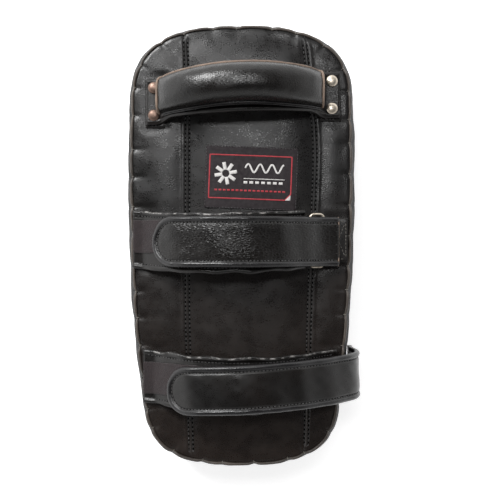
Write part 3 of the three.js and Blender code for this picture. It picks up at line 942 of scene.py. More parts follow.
def hole_shade_run(line, ups, pitch, length, radius, lift):
    """Painted shade for the pricked hole between each two stitches of the same row: a low dark dome for
    each.
    """
    reach = distances(line)
    count = int((reach[-1] - length) / pitch)
    turn = circle(8)[:, None]
    points, faces = [], []
    for centre in (reach[-1] - (count - 1) * pitch) / 2 + (np.arange(max(count - 1, 0)) + 0.5) * pitch:
        spot = np.array([np.interp(centre, reach, line[:, k]) for k in range(3)])
        ahead = np.array([np.interp(centre + 0.3, reach, line[:, k]) for k in range(3)]) - spot
        ahead /= np.linalg.norm(ahead)
        up = np.array([np.interp(centre, reach, ups[:, k]) for k in range(3)])
        up /= np.linalg.norm(up)
        round_it = np.cos(turn) * np.cross(up, ahead) + 0.9 * np.sin(turn) * ahead
        stacked_rings(points, faces, [spot + up * (lift + rise) + radius * size * round_it
                                      for size, rise in ((1.0, -0.25), (1.0, 0.0), (0.6, 0.1))])
    return points, faces


def join_runs(name, runs, material):
    """One piece from several runs of points and faces."""
    points, faces = [], []
    for run_points, run_faces in runs:
        base = len(points)
        points.extend(run_points)
        faces.extend([[base + i for i in face] for face in run_faces])
    piece = new_piece(name, points, faces, material)
    work = bmesh.new()
    work.from_mesh(piece.data)
    bmesh.ops.recalc_face_normals(work, faces=work.faces)
    work.to_mesh(piece.data)
    work.free()
    return piece


def sew(name, runs, material, slot="cover_leather"):
    """Runs of thread or of painted hole shade, as one piece that moves with the pad."""
    dress(join_runs(name, runs, material), "pad", slot)


def on_surface(surface, x, y, lift=0.0):
    """A line laid on the back, lift above it."""
    z = surface.height(x, y) + lift
    return np.stack([np.broadcast_to(x, z.shape), np.broadcast_to(y, z.shape), z], -1)


UP = np.array([0.0, 0.0, 1.0])


def ups_like(line):
    return np.tile(UP, (len(line), 1))


def build_seam_stitches(surface):
    threads, hole_shades = [], []
    for seam in (left_seam, right_seam):
        y = np.linspace(seam_end(seam, True) - 3, seam_end(seam, False) + 3, 300)
        for side in (-1, 1):
            line = on_surface(surface, seam(y) + side * STITCH_ROW, y)
            threads.append(stitch_run(line, ups_like(line), STITCH_PITCH, 2.3, 0.36, 0.2))
            # painted shade in each needle hole between the stitches
            hole_shades.append(hole_shade_run(line, ups_like(line), STITCH_PITCH, 2.3, 0.95, 0.35))
    sew("seam_stitches", threads, DARK_THREAD)
    sew("seam_stitch_hole_shades", hole_shades, HOLE_SHADE)


def build_welt():
    """The rolled lip of the perimeter seam, scalloped between its notch stitches, and those stitches."""
    step = 1.5
    at = np.arange(0, PERIMETER, step)
    line = np.stack([np.interp(at, COLUMN_AT, SEAM_LINE[:, k], period=PERIMETER) for k in range(2)], 1)
    side = outline_normals(line)
    pull = gather(at, 3.0)
    radius = 1.15 + 0.2 * ripple(at, at * 0, 21, 17) - 0.35 * np.minimum(pull, 1)
    outwards = 0.45 * (1 - np.minimum(gather(at, 6), 1)) - 0.6 * pull + 0.3 * ripple(at, at * 0, 22, 31)
    height = PANEL_TOP - 0.35 - 0.9 * pull + 0.4 * ripple(at, at * 0, 23, 24)
    loops = []
    for angle in circle(16):
        squeeze = 1.0 + 0.18 * math.sin(angle)
        across = outwards + radius * math.cos(angle) * squeeze
        rise = height + radius * 1.15 * math.sin(angle)
        loops.append(np.column_stack([line + side * across[:, None], rise]))
    # painted highlight: the light line along the rolled lip is painted into its colour
    welt = grid_piece("rolled_welt", np.stack(loops, 1), LIT_WELT_LEATHER, True, True, fill=False)
    dress(welt, "pad", "cover_leather", "seam_welt")

    threads = []
    angles = np.linspace(-0.35, math.pi + 0.35, 12)
    for place in NOTCHES:
        spot = np.array([np.interp(place, COLUMN_AT, SEAM_LINE[:, k], period=PERIMETER) for k in range(2)])
        normal = side[int(place / step) % len(at)]
        flat = spot + np.outer(1.35 * np.cos(angles) - 0.9, normal)
        arc = np.column_stack([flat, PANEL_TOP - 1.25 + 1.25 * np.sin(angles)])
        ups = np.column_stack([np.outer(np.cos(angles), normal), np.sin(angles)])
        threads.append(stitch_run(arc, ups, 7.0, 4.4, 0.36, 0.0))
    sew("notch_stitches", threads, PALE_THREAD)


# ---------------------------------------------------------------- the filling

def build_foam(node, name, material, slot):
    """A block of foam filling the cover at its own height, with rounded edges."""
    low, high = corners(node)
    line = pad_outline(220)
    inside = 3.8
    rounding = 1.6
    loops = []
    for z in np.linspace(low[2], high[2], 9):
        corner = max(0.0, rounding - (z - low[2]), rounding - (high[2] - z))
        level = max(0.0, z - 2.6) if z < STRIKE_ROUND else z
        soft = rounding - math.sqrt(max(rounding ** 2 - corner ** 2, 0)) if corner else 0.0
        loops.append(np.column_stack([wall_line(line, level, inside + soft), np.full(len(line), z)]))
    dress(closed_stack(name, loops, material), "pad", slot, node, padded=1.0)


# ---------------------------------------------------------------- straps

class Ribbon:
    """A strap's run in an upright plane: places points by their distance along, across and above it."""

    def __init__(self, nodes, y, skew=0.0, pivot_z=50.0, reach=(-75, 75), grow=(20, 20)):
        tree = ray_tree([frame["nodes"][node] for node in nodes])
        hits = []
        for angle in np.radians(np.arange(reach[0], reach[1], 0.5)):
            aim = Vector((math.sin(angle), math.sin(angle) * skew, math.cos(angle))).normalized()
            hit = tree.ray_cast(Vector((0, y, pivot_z)), aim)[0]
            if hit:
                hits.append((hit.x, hit.z))
        line = even_spacing(np.array(hits), 500)
        padded = np.vstack([2 * line[0] - line[14:0:-1], line, 2 * line[-1] - line[-2:-16:-1]])
        line = smoothed(padded, np.hanning(29))
        step = np.linalg.norm(line[1] - line[0])
        head = line[0] + np.outer(np.arange(grow[0] / step, 0, -1), line[0] - line[3]) / 3
        tail = line[-1] + np.outer(np.arange(1, grow[1] / step), line[-1] - line[-4]) / 3
        self.line = even_spacing(np.vstack([head, line, tail]), 700)
        self.reach = distances(self.line)
        self.ahead = headings(self.line)
        self.y, self.skew = y, skew

    def at_x(self, x):
        """Distance along the ribbon to where it first passes a given X."""
        return float(self.reach[np.argmax(self.line[:, 0] >= x)])

    def first_past(self, x, height, after=0.0):
        """Distance along to where the ribbon's upper side, at a height above it, first passes a given X."""
        lean = self.line[:, 0] - self.ahead[:, 1] * height
        return float(self.reach[np.argmax((lean >= x) & (self.reach > after))])

    def below_z(self, z):
        """Distance along to where the ribbon comes down past a height on its far side."""
        return float(self.reach[np.argmax((self.line[:, 1] < z) & (self.line[:, 0] > 60))])

    def frames(self, along):
        """X and Z, and the direction ahead, at distances along it."""
        x, z = (np.interp(along, self.reach, self.line[:, k]) for k in range(2))
        tx, tz = (np.interp(along, self.reach, self.ahead[:, k]) for k in range(2))
        return x, z, tx, tz

    def place(self, along, across, height):
        """Points in space by their distances along, across and above it."""
        along, across, height = np.broadcast_arrays(along, across, height)
        x, z, tx, tz = self.frames(along)
        px = x - tz * height
        return np.stack([px, self.y + across + px * self.skew, z + tx * height], -1)

    def up(self, along):
        """Which way is up from it."""
        _, _, tx, tz = self.frames(along)
        return np.stack([-tz, np.zeros_like(tx), tx], -1)


class Footprint:
    """A strap's flat outline: straight sides, a round tip at its start and a square end."""

    def __init__(self, start, end, half):
        self.half, self.start = half, start
        self.side = np.arange(end, start + half, -2.0)
        self.turn = np.linspace(0, np.pi, int(np.pi * half / 1.3))

    def ring(self, inward):
        """The outline moved inward, as (along, across) points from the square end round the tip and back."""
        radius = self.half - inward
        centre = self.start + self.half
        low = np.column_stack([self.side, np.full(len(self.side), -radius)])
        tip = np.column_stack([centre - radius * np.sin(self.turn), -radius * np.cos(self.turn)])
        high = np.column_stack([self.side[::-1], np.full(len(self.side), radius)])
        return np.vstack([low, tip, high])


def strap_wave(along, across, seed):
    """The soft unevenness of a used strap, in millimetres: it buckles a little along its length."""
    buckle = 0.34 * np.sin(2 * math.pi * along / 29 + 0.9 * np.sin(along / 21 + seed) + across / 16)
    return buckle + 0.4 * ripple(along, across * 1.2, seed, 33) + 0.12 * ripple(along, across, seed + 1, 9)


def build_closing(ribbon, prefix, start, end, half, seed, skin, dress_as, tail=()):
    """A closing strap on its ribbon: leather, lining, rolled binding and stitches, with painted shade at
    each needle hole.
    """
    foot = Footprint(start, end, half)
    edge = 4.5

    def surface_piece(name, insets, heights, material, thickness, *nodes):
        rings = []
        for inset, height in zip(insets, heights):
            ring = foot.ring(inset)
            lift = height + strap_wave(ring[:, 0], ring[:, 1], seed)
            rings.append(ribbon.place(ring[:, 0], ring[:, 1], lift))
        piece = sheet_piece(name, np.stack(rings, 1), material, 0.01, up_and_out)
        thicken(piece, thickness)
        return dress_as(piece, *nodes)

    insets = np.concatenate([[edge - 0.6, edge, edge + 0.5, edge + 0.9, edge + 1.3, edge + 2.0],
                             np.linspace(edge + 3, half, 11)])
    crown = 3.75 + 0.5 * np.minimum(1, (insets - edge) / 6)
    crown -= 0.8 * np.exp(-((insets - edge - 0.9) / 0.6) ** 2)
    surface_piece(f"{prefix}_strap_leather", insets, crown, skin, 1.7,
                  f"{prefix}_closing_leather", *tail)
    insets = np.linspace(edge - 1.2, half, 9)
    surface_piece(f"{prefix}_strap_lining", insets, np.full(9, 1.45), LINING_CLOTH, 1.3,
                  f"{prefix}_closing_lining")

    # the rolled binding's section: how far in from the strap's edge, and how high
    profile = [
        (edge, -0.15), (3.2, -0.2), (1.7, -0.1), (0.6, 0.35), (0.08, 1.2), (0.0, 2.2), (0.25, 3.2),
        (0.9, 4.0), (1.9, 4.5), (2.9, 4.6), (3.7, 4.35), (4.3, 3.95), (edge + 0.15, 3.4),
        (edge - 0.9, 2.9), (edge - 1.1, 1.2), (edge - 0.6, 0.3),
    ]
    loops = []
    for inset, height in profile:
        ring = foot.ring(inset)
        swell = 0.16 * ripple(ring[:, 0], ring[:, 1] * 0.2, seed + 5, 15) * (2.5 - abs(inset - 2.2))
        pucker = 0.1 * np.cos(2 * np.pi * np.arange(len(ring)) / 3.0) if inset > 2.5 else 0.0
        lift = height + strap_wave(ring[:, 0], ring[:, 1], seed) + swell * 0.6 + pucker
        loops.append(ribbon.place(ring[:, 0], ring[:, 1], lift))
    binding = grid_piece(f"{prefix}_strap_binding", np.stack(loops, 1), BINDING_LEATHER)
    dress_as(binding, f"{prefix}_closing_binding", *tail)

    row = foot.ring(edge + 0.85)
    line = ribbon.place(row[:, 0], row[:, 1], 3.2 + strap_wave(row[:, 0], row[:, 1], seed))
    ups = ribbon.up(row[:, 0])
    thread = stitch_run(line, ups, 3.0, 2.25, 0.36, 0.1)
    dress_as(join_runs(f"{prefix}_strap_stitches", [thread], DARK_THREAD))
    # painted shade in each needle hole between the stitches
    hole_shades = hole_shade_run(line, ups, 3.0, 2.25, 0.5, 0.1)
    dress_as(join_runs(f"{prefix}_strap_stitch_hole_shades", [hole_shades], HOLE_SHADE))


def up_and_out(face):
    """How much a face of a sheet looks up, and away from the pad's middle."""
    return (face.normal.z + 0.2 * face.normal.x * np.sign(face.center.x)) * face.area


def tape_piece(name, ribbon, start, end, half, low, high, material, seed, fuzz, offset=0.0, tip=False):
    """A strip of hook or loop tape: flat, with soft selvedges, and a round tip where it is cut to one."""
    along = np.linspace(start, end, int((end - start) / 1.4))
    across = np.concatenate([[-half], np.linspace(-half + 0.5, half - 0.5, 26), [half]])
    a, c = np.meshgrid(along, across, indexing="ij")
    round_off = np.clip(1 - (a - start) / half, 0, 1) * tip
    c = c * np.maximum(np.sqrt(1 - 0.72 * round_off ** 2), 0.2)
    c = c + 0.3 * ripple(a, a * 0, seed + 2, 22)
    top = high + fuzz * ripple(a, c, seed, 2.4) - 0.5 * (np.abs(c) > half - 0.3)
    top = top + 0.2 * ripple(a, c, seed + 1, 14)
    upper = ribbon.place(a, c + offset, top)
    lower = ribbon.place(a, c + offset, np.full(a.shape, low))
    return grid_piece(name, np.concatenate([upper, lower[:, ::-1]], axis=1), material)


def under_strap(name, ribbon, start, end, half, thickness, seed, node, edge_wave, drift=0.0,
                feet=None, painted_glints=False):
    """A flat strap with thick rolled edges, wavier along them than along its middle, that drifts across.

    feet is (from, to, factor): by what factor it widens between two distances from the pad's middle. A strap
    with painted glints gets a pale strip along its far edge, a painted highlight of its glossy rolled edge."""
    along = np.linspace(start, end, int((end - start) / 1.6))
    turn = circle(52)
    across = half * bent(np.cos(turn), 0.5)
    upper = np.sin(turn) >= 0
    hem = 1.5 * np.exp(-((half - np.abs(across) - 2.2) / 1.9) ** 2)
    groove = -0.7 * np.exp(-((half - np.abs(across) - 4.6) / 0.8) ** 2)
    height = np.where(upper, thickness + hem + groove, 0.0 - 0.3 * hem)
    height = np.where(np.abs(np.sin(turn)) < 0.2, thickness / 2 + np.sin(turn) * thickness * 2.4, height)

    def lie(a, c, h):
        ends = smoothstep(a, start, start + 14) * (1 - smoothstep(a, end - 14, end))
        edge = (np.abs(c) / half) ** 4 * edge_wave
        h = h + ends * (edge * 0.9 * ripple(a, c * 0.15, seed, 19) + 0.3 * ripple(a, c, seed + 1, 30))
        c = c + ends * edge * np.sign(c) * 0.8 * ripple(a, c * 0 + np.sign(c) * 90, seed + 2, 27)
        if feet:
            c = c * (1 + (feet[2] - 1) * smoothstep(np.abs(ribbon.frames(a)[0]), feet[0], feet[1]))
        return ribbon.place(a, c + drifted(a, start, end, drift), h)

    a, c = np.meshgrid(along, across, indexing="ij")
    piece = grid_piece(name, lie(a, c, np.broadcast_to(height, a.shape)), SMOOTH_LEATHER)
    # painted highlight: a pale strip along the far edge stands in for the glints of light on the glossy
    # rolled edge
    if painted_glints:
        at = np.linspace(start + 5, end - 3, 240)
        line = lie(at, half - 1.1 + 0.4 * ripple(at, at * 0, seed + 3, 11), thickness + 1.0 + 0 * at)
        dress(edge_strip(f"{name}_painted_glint_edge", line, 0.75, 0.45, PAINTED_GLINT_LEATHER), "pad", "strap_leather")
    return dress(piece, "pad", "strap_leather", node)


def drifted(along, start, end, drift):
    """How far a strap has moved across, at a distance along it: drift is the most, at its middle."""
    share = np.clip((along - start) / (end - start), 0, 1)
    return drift * np.sin(np.pi * share) ** 0.8


def edge_stitches(name, ribbon, start, end, half, height, drift):
    """A row of stitches near each long edge of an under strap."""
    inset = 4.6
    runs, hole_shades = [], []
    along = np.linspace(start + 2, end - 2, 200)
    for side in (-1, 1):
        line = ribbon.place(along, side * (half - inset) + drifted(along, start, end, drift), height)
        runs.append(stitch_run(line, ribbon.up(along), 3.0, 2.2, 0.34, 0.0))
        # painted shade in each needle hole between the stitches
        hole_shades.append(hole_shade_run(line, ribbon.up(along), 3.0, 2.2, 0.48, 0.0))
    sew(name, runs, DARK_THREAD, "strap_leather")
    sew(name + "_holes", hole_shades, HOLE_SHADE, "strap_leather")


def hinge_of(joint):
    """Where a joint's hinge line lies, in millimetres."""
    found = next(entry for entry in frame["record"]["behaviour"]["joints"] if entry["name"] == joint)
    return np.array(found["pos_m"]) / MM


def hook_strip(name, ribbon, node, half, seed, body):
    """The strip of hook tape on the underside of a closing strap."""
    low, high = corners(node)
    hook = tape_piece(name, ribbon, ribbon.at_x(low[0]), ribbon.at_x(high[0]), half, -1.75, -0.25,
                      HOOK_TAPE, seed, 0.08, tip=True)
    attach(hook, body)
    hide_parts(node)


def middle_base():
    """The run of the middle under strap."""
    return Ribbon(["mid_under_strap"], middle("mid_under_strap")[1], reach=(-70, 46))


def build_middle_strap():
    """The middle pair of straps: the one sewn down, with its loop tape, and the one that closes over it."""
    base = middle_base()
    start = base.at_x(corners("mid_under_strap")[0][0] - 2.6)
    under_end = base.at_x(corners("ring")[0][0] - 5)
    half = half_width("mid_under_strap")
    under_strap("mid_strap_base", base, start, under_end, half - 0.6, 2.4, 31, "mid_under_strap",
                1.0, -3.6, painted_glints=True)
    edge_stitches("mid_base_stitches", base, start, under_end, half - 0.6, 2.5, -3.6)

    offset = middle("mid_loop_tape")[1] - base.y
    loop_end = base.at_x(corners("mid_loop_tape")[1][0])
    loop = tape_piece("mid_loop_pile", base, start + 0.5, loop_end, half_width("mid_loop_tape"), 2.5, 4.2,
                      LOOP_TAPE, 41, 0.16, offset)
    dress(loop, "pad", "loop_tape", "mid_loop_tape")

    top = Ribbon(["mid_closing_lining"], middle("mid_closing_binding")[1], reach=(-72, 72), grow=(14, 8))
    low, high = corners("mid_closing_binding")
    x, y, z = hinge_of("mid_strap_open")
    body = "mid_closing_strap"

    def dress_as(piece, *nodes):
        slot = "strap_lining" if "lining" in piece.name else "strap_leather"
        return dress_blend(piece, body, (x + 1.5, y, z - 4), (x - 11, y, z), slot, *nodes)

    tip = top.first_past(low[0], 4.0)
    end = top.first_past(high[0] - 1.2, 2.0, 60)
    half = half_width("mid_closing_binding")
    build_closing(top, "mid", tip, end, half, 51, STRAP_LEATHER, dress_as)
    cut_end("mid_strap_cut_end", top, end, half, dress_as)
    hook_strip("mid_hooks", top, "mid_hook_tape", half_width("mid_hook_tape"), 61, body)


def cut_end(name, ribbon, end, half, dress_as):
    """The square end of a closing strap, where the tan cut edge of the leather shows."""
    across = np.linspace(-half + 0.3, half - 0.3, 44)
    section = np.array([(-0.5, 0.1), (0.3, 0.2), (0.45, 2.0), (0.35, 3.9), (-0.1, 4.4), (-0.6, 4.2)])
    loops = []
    for along, height in section:
        droop = 0.5 * np.maximum(0, np.abs(across) - half + 3) ** 1.4 / 3
        wobble = 0.2 * ripple(across, across * 0, 77, 12)
        along, height = end + along + wobble - droop * 0.7, height + wobble - droop * 0.35
        loops.append(ribbon.place(along, across, height))
    dress_as(grid_piece(name, np.stack(loops, 1), RAW_EDGE))


def swept_strip(name, line, y_low, y_high, thickness, seed):
    """A strip of leather whose middle layer follows a line in XZ, between two Y limits."""
    line = even_spacing(np.array(line, float), max(24, len(line)))
    ahead = headings(line)
    turn = circle(44)
    across = (y_high - y_low) / 2 * bent(np.cos(turn), 0.4)
    rise = thickness / 2 * bent(np.sin(turn), 0.5)
    points = np.empty((len(line), len(turn), 3))
    for k in range(len(line)):
        h = rise + 0.125 * ripple(across, across * 0 + k * 2.0, seed, 18)
        points[k, :, 0] = line[k, 0] - ahead[k, 1] * h
        points[k, :, 2] = line[k, 1] + ahead[k, 0] * h
        points[k, :, 1] = (y_low + y_high) / 2 + across
    return grid_piece(name, points, SMOOTH_LEATHER)


def arc_points(x, z, radius, start, stop):
    """Points in XZ along an arc, between two angles in degrees."""
    angles = np.radians(np.linspace(start, stop, 26))
    return np.column_stack([x + radius * np.cos(angles), z + radius * np.sin(angles)])


RING_WIRE = 1.4  # the wire's radius


def build_ring():
    """The wire ring, the middle under strap's fold round its left bar and the keeper round its right."""
    low, high = corners("ring")
    wire = RING_WIRE
    y_low, y_high = low[1] + wire, high[1] - wire
    x_low, x_high = low[0] + wire, high[0] - wire
    z_at_left, z_at_right = high[2] - wire, low[2] + wire
    radius = 3.4

    def corner(x, y, start):
        turn = np.radians(np.linspace(start, start + 90, 9))
        return [(x + radius * math.cos(t), y + radius * math.sin(t)) for t in turn]

    flat = corner(x_high - radius, y_high - radius, 0) + corner(x_low + radius, y_high - radius, 90)
    flat += corner(x_low + radius, y_low + radius, 180) + corner(x_high - radius, y_low + radius, 270)
    flat = even_spacing(np.array(flat), 150, closed=True)
    share = (flat[:, 0] - x_low) / (x_high - x_low)
    line = np.column_stack([flat, z_at_left + (z_at_right - z_at_left) * share])
    ahead = np.roll(line, -1, axis=0) - np.roll(line, 1, axis=0)
    ahead /= np.linalg.norm(ahead, axis=1)[:, None]
    side = np.cross(ahead, UP)
    side /= np.linalg.norm(side, axis=1)[:, None]
    up = np.cross(side, ahead)
    points = np.stack([line + wire * (math.cos(t) * side + math.sin(t) * up) for t in circle(16)], 1)
    ring = grid_piece("wire_ring", points, NICKEL, True, True, fill=False)
    dress(ring, "ring_link", "hardware", "ring")

    mid_y = (low[1] + high[1]) / 2
    left_bar, right_bar = (x_low, z_at_left), (x_high, z_at_right)
    base = middle_base()
    far = base.at_x(left_bar[0] - 17)
    near = base.at_x(left_bar[0] - 6.5)
    run = base.place(np.linspace(far, near, 8), 0.0, np.linspace(1.2, 2.4, 8))[:, [0, 2]]
    loop = arc_points(left_bar[0], left_bar[1] + 1.2, 4.0, 132, -150)
    back = base.place(np.linspace(near, far, 8), 0.0, -1.3)[:, [0, 2]]
    fold = swept_strip("mid_strap_ring_fold", np.vstack([run, loop, back]), mid_y - 19.2, mid_y + 19.2,
                       1.7, 81)
    dress(fold, "pad", "strap_leather")

    keep_low, keep_high = corners("ring_keeper")
    end = keep_high[0]
    base_z = keep_low[2] + 1.0
    lower = np.column_stack([np.linspace(end, right_bar[0] + 5, 10), np.full(10, base_z)])
    loop = arc_points(right_bar[0], right_bar[1], 2.6, -70, -290)
    upper = np.column_stack([np.linspace(right_bar[0] + 5, end, 10), np.full(10, base_z + 2.3)])
    keeper = swept_strip("ring_keeper_fold", np.vstack([lower, loop, upper]), keep_low[1] + 0.3,
                         keep_high[1] - 0.3, 1.8, 83)
    dress(keeper, "pad", "strap_leather", "ring_keeper")
    x0, x1 = right_bar[0] + 6, end - 1.5
    y0, y1 = keep_low[1] + 3, keep_high[1] - 3
    top = base_z + 3.35
    runs = []
    for a, b in (((x0, y0), (x1, y1)), ((x0, y1), (x1, y0)), ((x1, y0), (x1, y1)), ((x0, y0), (x1, y0)),
                 ((x0, y1), (x1, y1))):
        line = np.column_stack([np.linspace(a[0], b[0], 40), np.linspace(a[1], b[1], 40), np.full(40, top)])
        runs.append(stitch_run(line, ups_like(line), 3.2, 2.6, 0.27, 0.0))
    sew("keeper_stitches", runs, PALE_THREAD, "strap_leather")


def build_lower_strap():
    """The lower pair of straps: the one sewn down, with its loop tape, and the one that closes over it."""
    base = Ribbon(["lower_under_strap"], middle("lower_under_strap")[1], reach=(-70, 70))
    low, high = corners("lower_under_strap")
    start, end = base.at_x(low[0] - 4), base.at_x(high[0] + 1)
    half = half_width("lower_under_strap")
    under_strap("lower_strap_base", base, start, end, half - 0.6, 2.4, 91, "lower_under_strap",
                1.5, -3.4, painted_glints=True)
    edge_stitches("lower_base_stitches", base, start, end, half - 0.6, 2.5, -3.4)
    offset = middle("lower_loop_tape")[1] - base.y
    loop = tape_piece("lower_loop_pile", base, start + 0.5, base.at_x(corners("lower_loop_tape")[1][0]),
                      half_width("lower_loop_tape"), 2.5, 4.2, LOOP_TAPE, 95, 0.16, offset)
    dress(loop, "pad", "loop_tape", "lower_loop_tape")

    skew = math.tan(math.radians(3))
    middle_y = middle("lower_strap_tail")[1] - middle("lower_strap_tail")[0] * skew
    top = Ribbon(["lower_closing_lining", "lower_strap_tail"], middle_y, skew,
                 reach=(-72, 112), grow=(14, 2))
    half = half_width("lower_strap_tail")
    x, y, z = hinge_of("lower_strap_open")
    body = "lower_closing_strap"

    def dress_as(piece, *nodes):
        slot = "strap_lining" if "lining" in piece.name else "strap_leather"
        return dress_blend(piece, body, (x - 6, y, z - 7), (x - 8, y, z + 9), slot, *nodes)

    tip = top.first_past(corners("lower_closing_binding")[0][0], 4.0)
    end = top.below_z(corners("lower_strap_tail")[0][2] + 1)
    build_closing(top, "lower", tip, end, half, 101, SMOOTH_LEATHER, dress_as, ("lower_strap_tail",))
    cut_end("lower_strap_cut_end", top, end, half, dress_as)
    hook_strip("lower_hooks", top, "lower_hook_tape", half - 6, 111, body)


# ---------------------------------------------------------------- the handle

def build_handle(surface):
    """The handle: its strap, the padded grip with its edges, the patches under its feet and the rivets."""
    strap_low, strap_high = corners("handle_strap")
    left = middle("handle_patch_left")
    right = middle("handle_patch_right")
    skew = (right[1] - left[1]) / (right[0] - left[0])
    y = (left[1] + right[1]) / 2
    run = Ribbon(["handle_strap"], y, skew, pivot_z=60, reach=(-68, 68), grow=(4, 4))
    start, end = run.at_x(strap_low[0] + 0.4), run.at_x(strap_high[0] - 0.4)
    half = 15.5
    under_strap("handle_strap_leather", run, start, end, half - 0.3, 2.3, 121, "handle_strap", 0.25,
                feet=(56, 72, 1.3))
    grip_low, grip_high = corners("grip_cover")
    lift = 3.7
    width_end, width_mid, height_end, height_mid = 29.5, 31.6, 13.0, 20.0
    g0 = run.first_past(grip_low[0], lift + height_end, 20) - 0.6
    g1 = run.first_past(grip_high[0], lift + height_end, 60) - 2.2

    def bow(along):
        """The roll sits towards the far side of its strap, and bows further that way in its middle."""
        return 3.2 + 4.4 * np.sin(np.pi * np.clip((along - g0) / (g1 - g0), 0, 1))

    def skin(share, turn, shrink_by, squeeze=1.0, out=0.0, rise=0.0):
        """Places on the roll: by the share of its length and the angle round it from its far side.

        The roll's ends are cut nearly upright, further out on its near side than on its far side."""
        share, turn = np.broadcast_arrays(np.asarray(share, float), np.asarray(turn, float))
        full = 1 - (1 - np.sin(np.pi * np.clip(share, 0, 1))) ** 2.4
        width = width_end + (width_mid - width_end) * full
        height = height_end + (height_mid - height_end) * full
        c, s = np.cos(turn), np.sin(turn)
        across = (width / 2 - shrink_by) * bent(c, 0.5 + 0.34 * full) * squeeze
        up = (height * np.where(s > 0, 0.75, 0.25) - shrink_by) * bent(s, 0.9)
        level = lift + height * 0.25 + up * squeeze + rise
        along = g0 + (g1 - g0) * share + out
        lean = np.maximum(lift + height_end - level, 0) * (0.62 - 0.22 * c)
        lean = lean * ((1 - smoothstep(g1 - along, 0, 26)) - (1 - smoothstep(along - g0, 0, 26)))
        return run.place(along + lean, across + bow(along), level)

    def roll(name, shrink_by, material, caps):
        turn = circle(72)
        loops = []
        shares = np.concatenate([[0.0] * caps, np.linspace(0, 1, 110), [1.0] * caps])
        round_it = np.linspace(0.12, 1.45, caps)
        squeezes = np.concatenate([np.sin(round_it), np.ones(110), np.sin(round_it[::-1])])
        push = np.concatenate([-1.3 * np.cos(round_it), np.zeros(110), 1.3 * np.cos(round_it[::-1])])
        for share, squeeze, out in zip(shares, squeezes, push):
            along = g0 + (g1 - g0) * share + out
            around = np.cos(turn) * width_mid / 2
            bulge = 0.35 * ripple(along + turn * 0, around * 1.2, 131, 33)
            bulge = bulge + 0.12 * ripple(along + turn * 0, around, 132, 9)
            pleat = 0.35 * np.cos(turn * 9) * np.exp(-min(share, 1 - share) / 0.03)
            pleat = pleat * (1 if squeeze < 1 else 0.6)
            rise = (bulge + pleat) * (np.sin(turn) > -0.2) * squeeze
            loops.append(skin(share, turn, shrink_by, squeeze, out, rise))
        return grid_piece(name, np.stack(loops), material)

    dress(roll("grip_roll", 0.0, GRIP_LEATHER, 7), "pad", "strap_leather", "grip_cover", padded=0.9)
    dress(roll("grip_filling", 2.8, SOFT_FOAM, 4), "pad", "soft_foam", "grip_foam", padded=0.9)

    # the raw edge: along the far side, and over both ends of the roll
    over = np.linspace(np.pi * 1.0, 0.08, 44)
    along_it = np.linspace(0.015, 0.985, 110)
    path = np.vstack([
        skin(0.0, over, -0.3, out=-0.9),
        skin(along_it, 0.06, -0.7, rise=0.3 + 0.25 * np.sin(along_it * 23)),
        skin(1.0, over[::-1], -0.3, out=0.9),
    ])
    padded = np.vstack([np.repeat(path[:1], 3, 0), path, np.repeat(path[-1:], 3, 0)])
    path = smoothed(padded, np.hanning(9)[1:-1])
    dress(edge_strip("grip_raw_edge", path, 1.0, 0.85, RAW_EDGE), "pad", "strap_leather")

    # the near side: the folded edges of the two leathers, one above the other
    for name, drop, out, size in (("grip_near_edge", 1.0, 0.7, 0.7), ("grip_under_edge", -1.2, 1.5, 0.75)):
        line = skin(np.linspace(0, 1, 140), np.pi, -out, rise=drop)
        dress(edge_strip(name, line, size, size, BINDING_LEATHER), "pad", "strap_leather")

    # the patches under the strap's two feet: their outer ends are sewn with worn thread
    for side, word, shear in ((-1, "left", 0.0), (1, "right", 0.05)):
        node = f"handle_patch_{word}"
        low, high = corners(node)
        patch = laid_plate(f"patch_{word}", low, high, surface, SMOOTH_LEATHER, 0.1, shear=shear)
        dress(patch, "pad", "cover_leather", node)
        inset, outer_inset = 1.9, 3.6
        mid = (low + high) / 2
        x0 = low[0] + (outer_inset if side < 0 else inset)
        x1 = high[0] - (outer_inset if side > 0 else inset)
        box = [(x0 + shear * 20, low[1] + inset), (x1 + shear * 20, low[1] + inset),
               (x1 - shear * 20, high[1] - inset), (x0 - shear * 20, high[1] - inset)]
        runs, pale, hole_shades = [], [], []
        for a, b in zip(box, box[1:] + box[:1]):
            line = on_surface(surface, np.linspace(a[0], b[0], 40), np.linspace(a[1], b[1], 40),
                              high[2] - low[2] + 0.2)
            outer = abs(a[1] - b[1]) > 9 and (a[0] - mid[0]) * side > 0
            (pale if outer else runs).append(stitch_run(line, ups_like(line), 2.9, 2.2, 0.4, 0.0))
            # painted shade in each needle hole between the stitches
            hole_shades.append(hole_shade_run(line, ups_like(line), 2.9, 2.2, 0.5, 0.0))
        sew(f"patch_stitches_{word}", runs, DARK_THREAD)
        sew(f"patch_outer_stitches_{word}", pale, WORN_THREAD)
        sew(f"patch_hole_shades_{word}", hole_shades, HOLE_SHADE)

    for number in range(1, 5):
        build_rivet(number)


def edge_strip(name, line, wide, tall, material):
    """A rounded strip of leather edge along a line in space."""
    line = even_spacing(line, 260)
    ahead = headings(line)
    side = np.cross(ahead, UP)
    side /= np.maximum(np.linalg.norm(side, axis=1)[:, None], 1e-6)
    up = np.cross(side, ahead)
    at = np.arange(len(line)) * 1.0
    size = 1 + 0.12 * ripple(at, at * 0, 141, 14)
    ends = np.minimum(1, np.minimum(np.arange(len(line)), np.arange(len(line))[::-1]) / 3 * 0.8 + 0.2)
    points = [line + (size * ends)[:, None] * (wide * bent(np.cos(t), 0.7) * side
                                               + tall * bent(np.sin(t), 0.7) * up)
              for t in circle(12)]
    return grid_piece(name, np.stack(points, 1), material)


def turned(x, y, mid, degrees):
    """Places turned clockwise about a middle."""
    c, s = math.cos(math.radians(-degrees)), math.sin(math.radians(-degrees))
    return mid[0] + (x - mid[0]) * c - (y - mid[1]) * s, mid[1] + (x - mid[0]) * s + (y - mid[1]) * c


